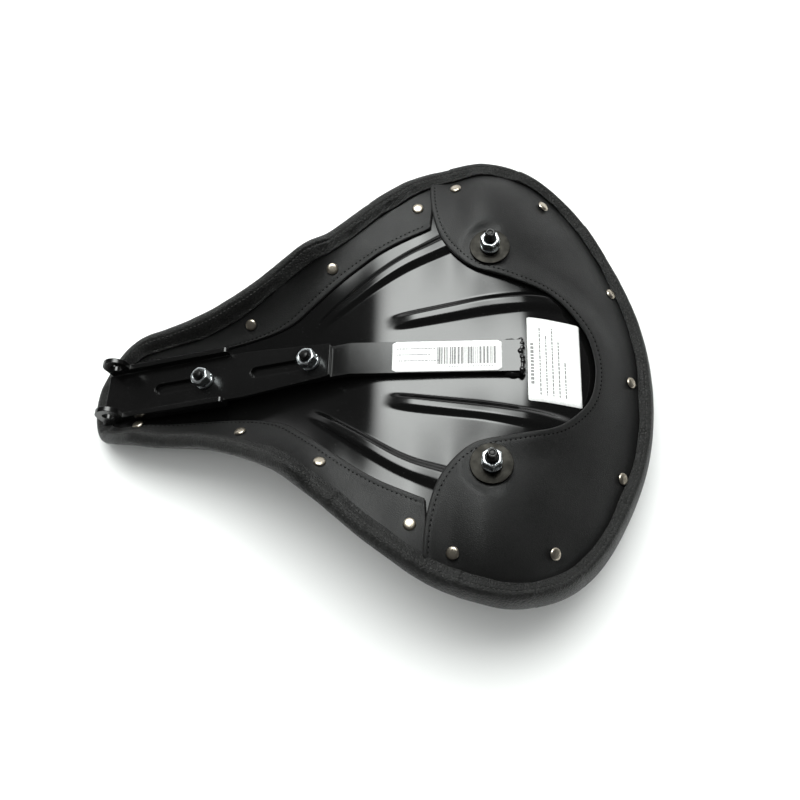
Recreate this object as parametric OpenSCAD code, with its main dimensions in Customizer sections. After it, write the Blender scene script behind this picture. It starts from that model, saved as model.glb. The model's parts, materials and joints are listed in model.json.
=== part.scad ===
// Sprung solo motorcycle seat, lying on its cushion with the steel pan, brackets and studs upwards.
// Frame: origin at the middle of the front hinge bore, +X towards the tail, +Y across, +Z out of the
// underside of the pan (towards the motorcycle when the seat is mounted).

/* [Seat] */
// Length of the seat from nose to tail
seat_len = 439; // [366:1:527]
// Width across the widest part
seat_w = 359; // [340:1:431]
// How far the nose reaches in front of the hinge axis
nose_reach = 21; // [17:1:26]
// Height of the hinge axis above the surface that the seat lies on
hinge_h = 44; // [40:1:50]
// Thickness of the padding under the middle of the pan
pad_t = 38; // [32:1:46]
// Thickness of the pressed steel pan
pan_t = 2; // [1.6:0.1:2.5]
// Thickness of the leather
leather_t = 1.8; // [1.4:0.1:2.2]
// Width of the turned hem around the underside
hem_w = 16; // [14:1:19]

/* [Bracket] */
// Slope of the front bracket against the studs' plane
bracket_slope = 19; // [15:0.5:22]
// Height of the hinge axis above the bracket's plate
hinge_lift = 11.3; // [10.5:0.1:13]
// Diameter of the hinge bore
hinge_d = 8.4; // [7:0.1:10]
// Outer radius of the hinge ears
ear_r = 10; // [8.5:0.5:12]
// Gap between the two hinge ears
ear_gap = 38; // [32:1:45]
// Thickness of the ears and side flanges
ear_t = 4; // [3:0.5:5]
// Thickness of the bracket's plate
plate_t = 3.2; // [2.5:0.1:4]
// Length of the bracket's plate behind the hinge axis
plate_len = 183; // [178:1:195]
// Length of the plate in front of the hinge axis
plate_front = 12.8; // [12:0.2:14]
// Width of the plate behind the flanges
plate_w = 38; // [32:1:45]
// Width of the plate at its rear end
plate_end_w = 27; // [23:1:32]
// Height of the side flanges above the plate
flange_h = 6.5; // [5:0.5:8]
// Length of the side flanges behind the hinge axis
flange_len = 98; // [85:1:105]
// Slot length for the fore bolt, between the centres of its round ends
fore_slot = 42; // [36:1:46]
// Slot length for the aft bolt, between the centres of its round ends
aft_slot = 47; // [40:1:50]
// How much wider the two slots are than the bolts
slot_play = 1; // [0.6:0.1:2]

/* [Strap] */
// Width of the centre strap
strap_w = 25.4; // [22:0.2:30]
// Thickness of the centre strap
strap_t = 4.8; // [4:0.2:6]
// Distance from the hinge axis to the strap's front end
strap_front = 22; // [18:1:26]
// Distance from the hinge axis to the bend in the strap
strap_bend = 192; // [186:1:200]
// Slope of the strap behind its bend
strap_slope = 2; // [0:0.2:3]
// Distance from the seat's tail to the strap's welded end
weld_back = 102; // [92:1:110]
// Radius of the weld bead
weld_r = 3; // [2:0.2:4]

/* [Fasteners] */
// Diameter of the bolts and studs
bolt_d = 8; // [7:0.1:9]
// How much thinner the rear studs' free thread is than their clamped length
thread_relief = 0.4; // [0.36:0.02:0.6]
// Width of the nuts across their flats
nut_af = 13; // [12:0.5:14]
// Thickness of the nuts
nut_h = 7.6; // [6:0.1:9]
// Thickness of the split lock washers
lock_t = 2.4; // [1.6:0.1:3]
// Outer diameter of the split lock washers
lock_d = 14.4; // [13:0.1:16]
// Distance along the slope from the hinge axis to the fore bolt
fore_bolt_at = 78; // [74:0.5:82]
// Distance along the slope from the hinge axis to the aft bolt
aft_bolt_at = 168; // [164:0.5:170]
// Thickness of the front bolts' heads
bolt_head_h = 5.3; // [4.5:0.1:6]
// Distance between the two rear studs
stud_spacing = 175.6; // [150:0.2:200]
// Distance from the seat's tail to the rear studs
stud_back = 124; // [112:1:136]
// Length of stud that stands out of its nut
stud_out = 8; // [6:1:12]
// Diameter of the rear flat washers
flat_d = 30; // [26:1:36]
// Thickness of the rear flat washers
flat_t = 2; // [1.5:0.1:2.5]
// Diameter of the rivet heads
rivet_d = 9; // [7.5:0.5:11]
// Height of the rivet heads
rivet_h = 2; // [1.5:0.1:2.6]

/* [Labels] */
// Length of the bar label on the strap
label_len = 79; // [60:1:90]
// Length of the inspection tag across the seat
tag_len = 68; // [50:1:72]
// Width of the inspection tag along the seat
tag_w = 39; // [30:1:42]

/* [Hidden] */

$fn = 32;
// Gap left between pieces that only rest on each other
rest_gap = 0.1;
// Slack between the padding and the leather round its edge
foam_gap = 0.5;
// Running gap between the sliding bracket and what it slides on or under
slide_gap = 0.3;
// Gap between a bolt and the bore of its nut or washer
bore_gap = 0.05;
// Slack between the panels and the pan
panel_gap = 0.6;
// How far the pan and the panels are tucked in under the hem, measured from the seat's outline
pan_inset = 8;
panel_inset = 9;
// Height by which the horseshoe panel's free edge stands off the pan
panel_lift = 1.8;
// Clearance over the bolt heads between the strap and the pan, and under the strap behind its bend
head_room = bolt_head_h + 1.5;
strap_gap = 1.2;
// Number of stations round half the outline
stations = 30;

nose_x = -nose_reach;
tail_x = seat_len - nose_reach;
half_w = seat_w / 2;
weld_x = tail_x - weld_back;
stud_x = tail_x - stud_back;
stud_y = stud_spacing / 2;
slot_w = bolt_d + slot_play;

// Plan outline of half the seat, as fractions of its length and half width
OUTLINE = [[0, 0], [0.0125, 0.145], [0.055, 0.228], [0.134, 0.281], [0.239, 0.337],
    [0.339, 0.446], [0.435, 0.604], [0.528, 0.791], [0.622, 0.933], [0.729, 1],
    [0.818, 0.948], [0.888, 0.805], [0.945, 0.574], [0.986, 0.305], [1, 0]];
// Free inner edge of the horseshoe panel, from the tail round to its end at the hem, and of a side
// panel, from the nose back: fractions of the seat's length from the nose, and of its half width
PANEL_EDGE = [[0.892, 0], [0.882, 0.134], [0.854, 0.234], [0.8155, 0.306], [0.754, 0.354],
    [0.6925, 0.396], [0.656, 0.468], [0.631, 0.568], [0.617, 0.702], [0.613, 0.84]];
SIDE_EDGE = [[0.052, 0.153], [0.185, 0.162], [0.298, 0.187], [0.367, 0.226], [0.412, 0.298],
    [0.481, 0.432], [0.538, 0.527], [0.609, 0.615]];
// Rivet places, in the same fractions
REAR_RIVETS = [[0.659, 0.822], [0.811, 0.792], [0.929, 0.43]];
TAIL_RIVET = [0.954, 0];
STRIP_RIVETS = [[0.299, 0.26], [0.444, 0.451], [0.592, 0.717]];
NOSE_RIVET = [0.102, 0.159];

// Bow of the pan across the seat: rise at full half width, square and fourth-power parts,
// against the fraction of the seat's length
BOW_SQUARE = [[0, 60], [0.05, 60], [0.1, 190], [0.183, 115], [0.296, 49], [0.395, 22], [0.44, 33], [0.5, 16],
    [0.59, 26], [0.65, 46], [0.71, 62], [0.8, 8], [0.88, -23], [0.92, -43], [1, -59]];
BOW_FOURTH = [[0, 400], [0.05, 600], [0.1, 1610], [0.183, 1610], [0.296, 1288], [0.395, 569],
    [0.44, 139], [0.5, 18], [0.59, -27], [0.65, -61], [0.71, -77], [0.8, -35], [0.88, -23], [0.92, -6], [1, 0]];

// Heights against the place round the outline, 0 at the nose and 1 at the tail:
// top of the hem's roll and the widest line, both over the edge of the pan
ROLL_H = [[0, 1.5], [0.04, 0], [0.07, -1.5], [0.1, 3], [0.14, 8.5], [0.18, 12], [0.21, 13],
    [0.25, 15.5], [0.29, 16.5], [0.33, 14], [0.36, 12], [0.4, 9.5], [0.5, 8.7],
    [0.6, 6], [0.7, 5], [1, 5]];
WIDE_H = [[0, -9], [0.07, -8], [0.14, 2.5], [0.21, 6], [0.25, 10.5], [0.29, 12], [0.33, 9.5],
    [0.36, 7], [0.4, 4], [0.5, 2], [0.57, -4], [0.64, -10], [0.8, -15], [1, -13]];
// Width of the hem round the outline, as a share of hem_w
HEM_SHARE = [[0, 1], [0.1, 0.85], [0.2, 0.97], [0.5, 0.95], [0.65, 0.88], [0.75, 0.76],
    [0.9, 0.74], [1, 0.8]];
// Radius of the cushion's lower edge round the outline
EDGE_R = [[0, 24], [0.14, 34], [0.3, 42], [0.5, 48], [0.8, 42], [1, 30]];
// Thickness of the padding against the fraction of the seat's length, added to pad_t
PAD_EXTRA = [[0, -8], [0.3, -2], [0.6, 0], [0.8, 4], [1, 12]];

// Smooth curve through control points [x, value], at x
function span(p, x, i = 0) = (i >= len(p) - 2 || x < p[i + 1][0]) ? i : span(p, x, i + 1);
function grade(p, i) = let (a = max(i - 1, 0), b = min(i + 1, len(p) - 1))
    (p[b][1] - p[a][1]) / (p[b][0] - p[a][0]);
function hermite(a, b, ma, mb, t) = a * (1 + 2 * t) * (1 - t) * (1 - t) + b * t * t * (3 - 2 * t)
    + ma * t * (1 - t) * (1 - t) - mb * t * t * (1 - t);
function curve(p, x) = let (i = span(p, x), h = p[i + 1][0] - p[i][0],
    t = min(max((x - p[i][0]) / h, 0), 1))
    hermite(p[i][1], p[i + 1][1], grade(p, i) * h, grade(p, i + 1) * h, t);

// Smooth path through points, at t from 0 to 1; before and after are the end tangents
function path_slope(p, i, before, after) = i == 0 ? before : i == len(p) - 1 ? after
    : (p[i + 1] - p[i - 1]) / 2;
function path(p, t, before, after) = let (n = len(p) - 1, i = min(floor(t * n), n - 1), u = t * n - i)
    hermite(p[i], p[i + 1], path_slope(p, i, before, after), path_slope(p, i + 1, before, after), u);

function smooth(t) = t * t * (3 - 2 * t);
function between(a, b, s) = a + s * (b - a);

// Plan position on the outline, and inset from it towards the middle, for t from 0 to 1 and side +-1
function outline(t, side) = place(path(OUTLINE, t, [0, OUTLINE[1][1]], [0, -OUTLINE[13][1]]), side);
// Towards the middle line, and square to the outline; deep insets turn from the one to the other
function middle(q) = [nose_x + 48 + (q[0] - nose_x) / seat_len * (seat_len - 178), 0];
function unit(d) = d / norm(d);
function square_in(t, side) = let (e = 0.01, d = outline(min(t + e, 1), side) - outline(max(t - e, 0), side))
    t < e || t > 1 - e ? [t < 0.5 ? 1 : -1, 0] : side * unit([d[1], -d[0]]);
function inset(t, side, d) = let (q = outline(t, side), turn = smooth(min(max((d - 16) / 26, 0), 1)))
    q + d * unit(between(square_in(t, side), unit(middle(q) - q), turn));
function toward(t, side, d, s) = let (q = inset(t, side, d)) q + s * (middle(outline(t, side)) - q);
// Plan position from fractions of the seat's length and half width
function place(q, side) = [nose_x + q[0] * seat_len, side * q[1] * half_w];

// Heights of the bracket and strap planes at x, h being the distance over the hinge axis's plane
function slope_z(x, h) = x * tan(bracket_slope) + h / cos(bracket_slope);
plate_h = -hinge_lift;
strap_h = plate_h - plate_t - slide_gap;
function strap_top(x) = x < strap_bend ? slope_z(x, strap_h)
    : slope_z(strap_bend, strap_h) + (x - strap_bend) * tan(strap_slope);
function strap_base(x) = strap_top(x) - strap_t / cos(x < strap_bend ? bracket_slope : strap_slope);

// Height of the pan's upper face along the middle, and anywhere
tail_z = strap_base(weld_x) - strap_gap;
MIDDLE = [[nose_x, strap_base(strap_front) - 16], [0, strap_base(strap_front) - 8.5],
    [strap_front, strap_base(strap_front) - rest_gap], [strap_front + 23, strap_base(strap_front + 23) - 5],
    [70, strap_base(70) - head_room], [168, strap_base(168) - head_room],
    [strap_bend + 13, strap_base(strap_bend + 13) - strap_gap - 2],
    [strap_bend + 38, strap_base(strap_bend + 38) - strap_gap], [weld_x, tail_z],
    [tail_x - 81, tail_z - 4], [tail_x - 49, tail_z - 19], [tail_x - 20, tail_z - 41], [tail_x, tail_z - 61]];
function pan_z(x, y) = let (u = (x - nose_x) / seat_len, v = y / half_w)
    curve(MIDDLE, x) + curve(BOW_SQUARE, u) * v * v + curve(BOW_FOURTH, u) * v * v * v * v;
function on_pan(q, h) = [q[0], q[1], pan_z(q[0], q[1]) + h];
function hem_at(t) = hem_w * curve(HEM_SHARE, t);
function edge_z(t) = let (q = inset(t, 1, hem_at(t))) pan_z(q[0], q[1]);
function wide_z(t) = edge_z(t) + curve(WIDE_H, t);
// Lower face of the padding: a layer under the pan, flat where it rests
function base_z(q, skin) = max(pan_z(q[0], q[1]) - pad_t - curve(PAD_EXTRA, (q[0] - nose_x) / seat_len),
    -hinge_h) + skin;

// Two triangles between neighbouring loops, split along the shorter diagonal
function quad(p, a, b, c, d) = norm(p[a] - p[c]) <= norm(p[b] - p[d]) ? [[a, b, c], [a, c, d]]
    : [[a, b, d], [b, c, d]];
function walls(p, n, m, steps) = [for (i = [0 : steps - 1], j = [0 : n - 1])
    let (k = (i + 1) % m, l = (j + 1) % n) each quad(p, i * n + j, i * n + l, k * n + l, k * n + j)];

// Closed solid between loops of points; caps fill the end loops by joining their mirrored points,
// and ring joins the last loop back to the first
module skin(loops, caps = true, ring = false) {
    n = len(loops[0]);
    m = len(loops);
    p = [for (l = loops, q = l) q];
    ends = !caps ? [] : [for (j = [0 : n / 2 - 1]) let (a = j, b = j + 1, c = (n - j - 1) % n,
        d = (n - j) % n, e = (m - 1) * n)
        each [if (a != d) [a, d, b], if (b != c) [b, d, c],
            if (a != d) [e + a, e + b, e + d], if (b != c) [e + b, e + c, e + d]]];
    polyhedron(points = p, faces = concat(walls(p, n, m, ring ? m : m - 1), ends), convexity = 6);
}

// Places round the whole outline, as [t, side], from the nose along +Y to the tail and back
AROUND = concat([for (i = [0 : stations]) [i / stations, 1]],
    [for (i = [stations - 1 : -1 : 1]) [i / stations, -1]]);

// One loop round the seat: at a distance inside the outline, or a share s of the rest of the way in
function pan_loop(d, s, h) = [for (a = AROUND) on_pan(toward(a[0], a[1], d, s), h)];
function base_loop(d, s, skin) = [for (a = AROUND) let (q = toward(a[0], a[1], d, s))
    [q[0], q[1], base_z(q, skin)]];
// Loop on the rounded lower edge of the cushion, at an angle from the widest line down
function edge_loop(angle, skin) = [for (a = AROUND) let (r = curve(EDGE_R, a[0]) - skin,
    tuck = 0.6 * angle / 90 + 0.4 * (1 - cos(angle)),
    q = inset(a[0], a[1], skin + r * tuck), foot = inset(a[0], a[1], skin + r))
    [q[0], q[1], wide_z(a[0]) + (base_z(foot, skin) - wide_z(a[0])) * sin(angle)
        + (base_z(q, skin) - base_z(foot, skin)) * pow(sin(angle), 8)]];
// Loop of the cushion's lower face, a share s of the way in from the rounded edge
function floor_loop(s, skin) = [for (a = AROUND) let (q = toward(a[0], a[1], curve(EDGE_R, a[0]), s))
    [q[0], q[1], base_z(q, skin)]];

INNER = [0.85, 0.55, 0.25];
PAN_INNER = [0.85, 0.7, 0.55, 0.4, 0.27, 0.17, 0.08];
EDGE_ANGLES = [90, 68, 45, 22, 0];

module seat_pan() {
    color([0.03, 0.03, 0.035])
    skin(concat([for (s = PAN_INNER) pan_loop(pan_inset, s, 0)], [pan_loop(pan_inset, 0, 0)],
        [pan_loop(pan_inset, 0, -pan_t)],
        [for (i = [len(PAN_INNER) - 1 : -1 : 0]) pan_loop(pan_inset, PAN_INNER[i], -pan_t)]));
}

module foam_pad() {
    top = -pan_t - rest_gap;
    inner = leather_t + foam_gap;
    color([0.85, 0.8, 0.6])
    skin(concat([for (s = PAN_INNER) pan_loop(pan_inset, s, top)], [pan_loop(pan_inset, 0, top)],
        [for (i = [len(EDGE_ANGLES) - 1 : -1 : 0]) edge_loop(EDGE_ANGLES[i], inner)],
        [for (i = [2 : -1 : 0]) floor_loop(INNER[i], inner)]));
}

module leather_cover() {
    color([0.05, 0.05, 0.05])
    skin(concat([for (s = INNER) floor_loop(s, 0)], [for (a = EDGE_ANGLES) edge_loop(a, 0)],
        [for (i = [len(EDGE_ANGLES) - 1 : -1 : 0]) edge_loop(EDGE_ANGLES[i], leather_t)],
        [for (i = [2 : -1 : 0]) floor_loop(INNER[i], leather_t)]));
}

// Cross-section of the hem at one place: from its sewn inner edge over the roll to the widest line
// Height of its inner edge over the pan, more where it lies on a side panel or the horseshoe panel
function hem_rise(t) = let (lap = smooth(min(max((t - 0.08) / 0.04, 0), 1)))
    leather_t + 2 * rest_gap + lap * (leather_t + panel_gap);
crest_share = 0.42;
function hem_point(t, side, d, h) = let (q = inset(t, side, d)) [q[0], q[1], edge_z(t) + h];
// The same over the pan and the panels, which it lies on where they rise steeply
function hem_lap(t, side, d, h, t_in) = let (q = inset(t, side, d))
    [q[0], q[1], max(edge_z(t) + h, pan_z(q[0], q[1]) + hem_rise(t)) - t_in];
function hem_face(t, side, t_in) = let (roll = curve(ROLL_H, t) - t_in, wide = curve(WIDE_H, t),
    w = hem_at(t), crest = w * crest_share)
    concat([for (k = [0 : 2]) let (u = k / 3) hem_lap(t, side, w - (w - crest) * u,
            between(hem_rise(t), roll + t_in, smooth(u)), t_in)],
        [for (f = [0, 30, 60, 90]) hem_point(t, side, t_in + (crest - t_in) * (1 - sin(f)),
            wide + rest_gap + (roll - wide - rest_gap) * cos(f))]);
function hem_section(t, side) = let (outer = hem_face(t, side, 0), inner = hem_face(t, side, leather_t))
    concat(outer, [for (i = [len(inner) - 1 : -1 : 0]) inner[i]]);

module edge_hem() {
    sections = [for (a = AROUND) hem_section(a[0], a[1])];
    color([0.06, 0.06, 0.06])
    skin(sections, caps = false, ring = true);
}

// Strip of leather on the pan between two edges, given as lists of plan points; its inner edge lifts
function strip_section(q_in, q_out, lift) = let (base = panel_gap, steps = [0, 0.12, 0.26, 0.42, 0.6, 0.8, 1])
    concat([for (s = steps) on_pan(q_in + s * (q_out - q_in),
            base + leather_t + lift * pow(1 - s, 3))],
        [for (i = [len(steps) - 1 : -1 : 0]) let (s = steps[i])
            on_pan(q_in + s * (q_out - q_in), base + lift * pow(1 - s, 3))]);
// Closed solid through such sections, its two ends closed across the section
module strip(sections) {
    n = len(sections[0]);
    m = len(sections);
    p = [for (s = sections, q = s) q];
    ends = [for (j = [0 : n / 2 - 2]) let (a = j, b = j + 1, c = n - j - 2, d = n - j - 1, e = (m - 1) * n)
        each [[a, d, c], [a, c, b], [e + a, e + b, e + c], [e + a, e + c, e + d]]];
    polyhedron(points = p, faces = concat(walls(p, n, m, m - 1), ends), convexity = 6);
}

panel_start = 0.582;
function panel_inner(u, side) = let (n = len(PANEL_EDGE) - 1)
    place(path(PANEL_EDGE, 1 - u, [0, PANEL_EDGE[1][1]], PANEL_EDGE[n] - PANEL_EDGE[n - 1]), side);
function panel_outer(u, side) = inset(between(panel_start, 1, u), side, panel_inset);

module rear_panel() {
    n = 26;
    half = [for (i = [0 : n]) i / n];
    sections = concat([for (u = half) strip_section(panel_inner(u, 1), panel_outer(u, 1), panel_lift)],
        [for (i = [n - 1 : -1 : 0]) strip_section(panel_inner(half[i], -1), panel_outer(half[i], -1),
            panel_lift)]);
    color([0.07, 0.07, 0.07])
    strip(sections);
}

side_start = 0.12;
side_end = 0.561;
function side_inner(u, side) = let (n = len(SIDE_EDGE) - 1)
    place(path(SIDE_EDGE, u, SIDE_EDGE[1] - SIDE_EDGE[0], SIDE_EDGE[n] - SIDE_EDGE[n - 1]), side);
function side_outer(u, side) = inset(between(side_start, side_end, u), side, panel_inset);

module side_panel(side) {
    n = 22;
    places = [for (i = [0 : n]) side > 0 ? i / n : 1 - i / n];
    color([0.07, 0.07, 0.07])
    strip([for (u = places) strip_section(side_inner(u, side), side_outer(u, side), 0)]);
}
module side_panel_left() side_panel(1);
module side_panel_right() side_panel(-1);

// Stand something on the pan at q, square to its surface, at height h over it
module stand_on_pan(q, h) {
    e = 1;
    sx = (pan_z(q[0] + e, q[1]) - pan_z(q[0] - e, q[1])) / (2 * e);
    sy = (pan_z(q[0], q[1] + e) - pan_z(q[0], q[1] - e)) / (2 * e);
    translate(on_pan(q, 0))
    rotate([0, atan(norm([sx, sy])), atan2(-sy, -sx)])
    translate([0, 0, h])
    children();
}

rivet_shank_r = 2;
module rivet() {
    head_r = rivet_d / 2;
    dome_r = (head_r * head_r + rivet_h * rivet_h) / (2 * rivet_h);
    tail = pan_t + leather_t + 2;
    rotate_extrude()
    union() {
        intersection() {
            translate([0, rivet_h - dome_r]) circle(dome_r);
            translate([0, 0]) square([head_r, rivet_h]);
        }
        translate([0, -tail]) square([rivet_shank_r, tail + rivet_h / 2]);
        translate([0, -tail]) square([rivet_shank_r * 1.6, 1.2]);
    }
}
rivet_base = leather_t + panel_gap + rest_gap;

module rear_panel_rivets() {
    color([0.75, 0.72, 0.66]) {
        for (side = [1, -1], r = REAR_RIVETS) stand_on_pan(place(r, side), rivet_base) rivet();
        stand_on_pan(place(TAIL_RIVET, 1), rivet_base) rivet();
    }
}
module side_rivets(side) {
    color([0.75, 0.72, 0.66])
    for (r = concat(side < 0 ? [NOSE_RIVET] : [], STRIP_RIVETS))
        stand_on_pan(place(r, side), rivet_base) rivet();
}
module side_rivets_left() side_rivets(1);
module side_rivets_right() side_rivets(-1);

// The bracket's own plane: X along the slope from the hinge axis, Z square to the plate
module on_slope() {
    rotate([0, -bracket_slope, 0]) children();
}
// Extrude a side profile drawn in X and Z, over a width centred on y
module side_profile(width, y = 0) {
    translate([0, y + width / 2, 0]) rotate([90, 0, 0]) linear_extrude(width) children();
}

module centre_strap() {
    color([0.04, 0.04, 0.045])
    difference() {
        side_profile(strap_w)
        polygon([[strap_front, strap_top(strap_front)], [strap_bend, strap_top(strap_bend)],
            [weld_x, strap_top(weld_x)], [weld_x, strap_base(weld_x + 0.01)],
            [strap_bend, strap_top(strap_bend) - strap_t], [strap_front, strap_base(strap_front)]]);
        on_slope()
        for (at = [fore_bolt_at, aft_bolt_at])
            translate([at, 0, strap_h - 2 * strap_t]) cylinder(h = 4 * strap_t, d = bolt_d + 2 * bore_gap);
    }
}

module strap_weld() {
    z = strap_base(weld_x) + 0.6;
    run = 11;
    y = strap_w / 2;
    color([0.06, 0.06, 0.065])
    union() {
        translate([weld_x, 0, z]) rotate([90, 0, 0]) cylinder(h = strap_w, r = weld_r, center = true);
        for (s = [1, -1]) {
            translate([weld_x, s * y, z]) sphere(weld_r);
            translate([weld_x - run, s * y, z]) rotate([0, 90, 0]) cylinder(h = run, r = weld_r);
            translate([weld_x - run, s * y, z]) sphere(weld_r);
        }
    }
}

module slot(from, length, width, deep) {
    linear_extrude(deep)
    union() {
        for (x = [from, from + length]) translate([x, 0]) circle(d = width);
        translate([from, -width / 2]) square([length, width]);
    }
}

module flange_profile() {
    base = plate_h - plate_t;
    top = plate_h + flange_h;
    nose_r = 3;
    union() {
        circle(ear_r);
        translate([-ear_r, base]) square([2 * ear_r, -base]);
        polygon([[-plate_front, base], [flange_len, base], [flange_len, top - nose_r],
            [flange_len - nose_r, top], [ear_r, top], [-plate_front, plate_h]]);
        translate([flange_len - nose_r, top - nose_r]) circle(nose_r);
    }
}

module front_bracket() {
    outer_w = ear_gap + 2 * ear_t;
    end_r = 2;
    color([0.05, 0.05, 0.055])
    on_slope()
    difference() {
        union() {
            translate([0, 0, plate_h - plate_t]) linear_extrude(plate_t)
            union() {
                translate([-plate_front, -outer_w / 2]) square([plate_front + flange_len, outer_w]);
                polygon([[flange_len - 1, -plate_w / 2], [plate_len * 0.62, -plate_w / 2],
                    [plate_len - end_r, -plate_end_w / 2], [plate_len, -plate_end_w / 2 + end_r],
                    [plate_len, plate_end_w / 2 - end_r], [plate_len - end_r, plate_end_w / 2],
                    [plate_len * 0.62, plate_w / 2], [flange_len - 1, plate_w / 2]]);
                for (s = [1, -1])
                    translate([plate_len - end_r, s * (plate_end_w / 2 - end_r)]) circle(end_r);
            }
            for (s = [1, -1]) side_profile(ear_t, s * (ear_gap + ear_t) / 2) flange_profile();
        }
        rotate([90, 0, 0]) cylinder(h = outer_w + 2, d = hinge_d, center = true);
        translate([0, 0, plate_h - 2 * plate_t]) {
            slot(fore_bolt_at + 0.5 - fore_slot, fore_slot, slot_w, 3 * plate_t);
            slot(aft_bolt_at + 0.5 - aft_slot, aft_slot, slot_w, 3 * plate_t);
        }
    }
}

// Threaded rod drawn as a plain round bar with a chamfered tip; its free end may be relieved
module rod(length, free = 0, relief = 0) {
    tip = 0.8;
    r = bolt_d / 2;
    end_r = r - relief / 2;
    rotate_extrude()
    polygon(concat([[0, 0], [r, 0]], free > 0 ? [[r, length - free], [end_r, length - free]] : [],
        [[end_r, length - tip], [end_r - tip, length], [0, length]]));
}

module hex_nut() {
    corner = nut_af / 2 / cos(30);
    bevel = corner - nut_af / 2;
    difference() {
        intersection() {
            cylinder(h = nut_h, r = corner, $fn = 6);
            rotate_extrude()
            polygon([[0, 0], [nut_af / 2, 0], [corner, bevel * 0.6], [corner, nut_h - bevel * 0.6],
                [nut_af / 2, nut_h], [0, nut_h]]);
        }
        translate([0, 0, -1]) cylinder(h = nut_h + 2, d = bolt_d + 2 * bore_gap);
    }
}

module lock_washer() {
    bore = bolt_d / 2 + 2 * bore_gap;
    rotate_extrude(angle = 348)
    translate([bore, 0]) square([lock_d / 2 - bore, lock_t]);
}

front_nut_h = plate_h + slide_gap;
front_tip = 3;
module front_bolt(at) {
    under = strap_h - strap_t - rest_gap;
    color([0.7, 0.72, 0.76])
    on_slope()
    translate([at, 0, under])
    union() {
        translate([0, 0, -bolt_head_h]) cylinder(h = bolt_head_h, d = nut_af / cos(30), $fn = 6);
        rod(front_nut_h - under + lock_t + rest_gap + nut_h + front_tip);
    }
}
module front_bolt_fore() front_bolt(fore_bolt_at);
module front_bolt_aft() front_bolt(aft_bolt_at);
module front_lock_washer(at, turn) {
    color([0.7, 0.72, 0.76])
    on_slope() translate([at, 0, front_nut_h]) rotate(turn) lock_washer();
}
module front_lock_washer_fore() front_lock_washer(fore_bolt_at, 200);
module front_lock_washer_aft() front_lock_washer(aft_bolt_at, 240);
module front_nut(at, turn) {
    color([0.7, 0.72, 0.76])
    on_slope() translate([at, 0, front_nut_h + lock_t + rest_gap]) rotate(turn) hex_nut();
}
module front_nut_fore() front_nut(fore_bolt_at, 12);
module front_nut_aft() front_nut(aft_bolt_at, 20);

// Heights of the rear fasteners' stack, from the leather up
stud_base = pan_z(stud_x, stud_y);
washer_rise = max([for (a = [0 : 30 : 330])
    pan_z(stud_x + flat_d / 2 * cos(a), stud_y + flat_d / 2 * sin(a))]);
// Gap between the nut and the start of the stud's free thread
relief_start = 0.6;
flat_z = max(stud_base + rest_gap + leather_t + 0.7, washer_rise + rest_gap);
rear_lock_z = flat_z + flat_t + rest_gap;
rear_nut_z = rear_lock_z + lock_t + rest_gap;
stud_head_t = 3;
stud_head_d = 20;

module rear_stud(side) {
    foot = stud_base - pan_t - stud_head_t - 0.5;
    color([0.3, 0.3, 0.32])
    translate([stud_x, side * stud_y, foot])
    union() {
        cylinder(h = stud_head_t, d = stud_head_d);
        rod(rear_nut_z + nut_h + stud_out - foot, stud_out - relief_start, thread_relief);
    }
}
module rear_stud_left() rear_stud(1);
module rear_stud_right() rear_stud(-1);
module rear_flat_washer(side) {
    color([0.45, 0.43, 0.4])
    translate([stud_x, side * stud_y, flat_z])
    difference() {
        cylinder(h = flat_t, d = flat_d, $fn = 48);
        translate([0, 0, -1]) cylinder(h = flat_t + 2, d = bolt_d + 4 * bore_gap);
    }
}
module rear_flat_washer_left() rear_flat_washer(1);
module rear_flat_washer_right() rear_flat_washer(-1);
module rear_lock_washer(side) {
    color([0.7, 0.72, 0.76])
    translate([stud_x, side * stud_y, rear_lock_z]) rotate(side * 60 + 150) lock_washer();
}
module rear_lock_washer_left() rear_lock_washer(1);
module rear_lock_washer_right() rear_lock_washer(-1);
module rear_nut(side) {
    color([0.7, 0.72, 0.76])
    translate([stud_x, side * stud_y, rear_nut_z]) rotate(10 + side * 8) hex_nut();
}
module rear_nut_left() rear_nut(1);
module rear_nut_right() rear_nut(-1);

paper_t = 0.3;
label_edge = 0.4;
module bar_label() {
    color([0.93, 0.93, 0.92])
    translate([weld_x - 14, 0, strap_top(weld_x - 14) + rest_gap])
    rotate([0, -strap_slope, 0])
    translate([-label_len, -strap_w / 2 + label_edge, 0])
    cube([label_len, strap_w - 2 * label_edge, paper_t]);
}

// Thin card that follows the pan
module inspection_tag() {
    n = 10;
    x = tail_x - 58.5;
    places = [for (i = [0 : n]) (i / n - 0.5) * tag_len];
    h = 3 * rest_gap;
    steps = [0, 1 / 3, 2 / 3, 1];
    color([0.93, 0.93, 0.92])
    strip([for (y = places)
        concat([for (s = steps) on_pan([x - tag_w * (1 - s), y], h + paper_t)],
            [for (i = [3 : -1 : 0]) on_pan([x - tag_w * (1 - steps[i]), y], h)])]);
}

seat_pan();
foam_pad();
leather_cover();
edge_hem();
rear_panel();
side_panel_left();
side_panel_right();
rear_panel_rivets();
side_rivets_left();
side_rivets_right();
centre_strap();
strap_weld();
front_bracket();
front_bolt_fore();
front_bolt_aft();
front_lock_washer_fore();
front_lock_washer_aft();
front_nut_fore();
front_nut_aft();
rear_stud_left();
rear_stud_right();
rear_flat_washer_left();
rear_flat_washer_right();
rear_lock_washer_left();
rear_lock_washer_right();
rear_nut_left();
rear_nut_right();
bar_label();
inspection_tag();
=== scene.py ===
import json
import math

import bmesh
import bpy
import numpy as np
from mathutils import Matrix, Vector


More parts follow.
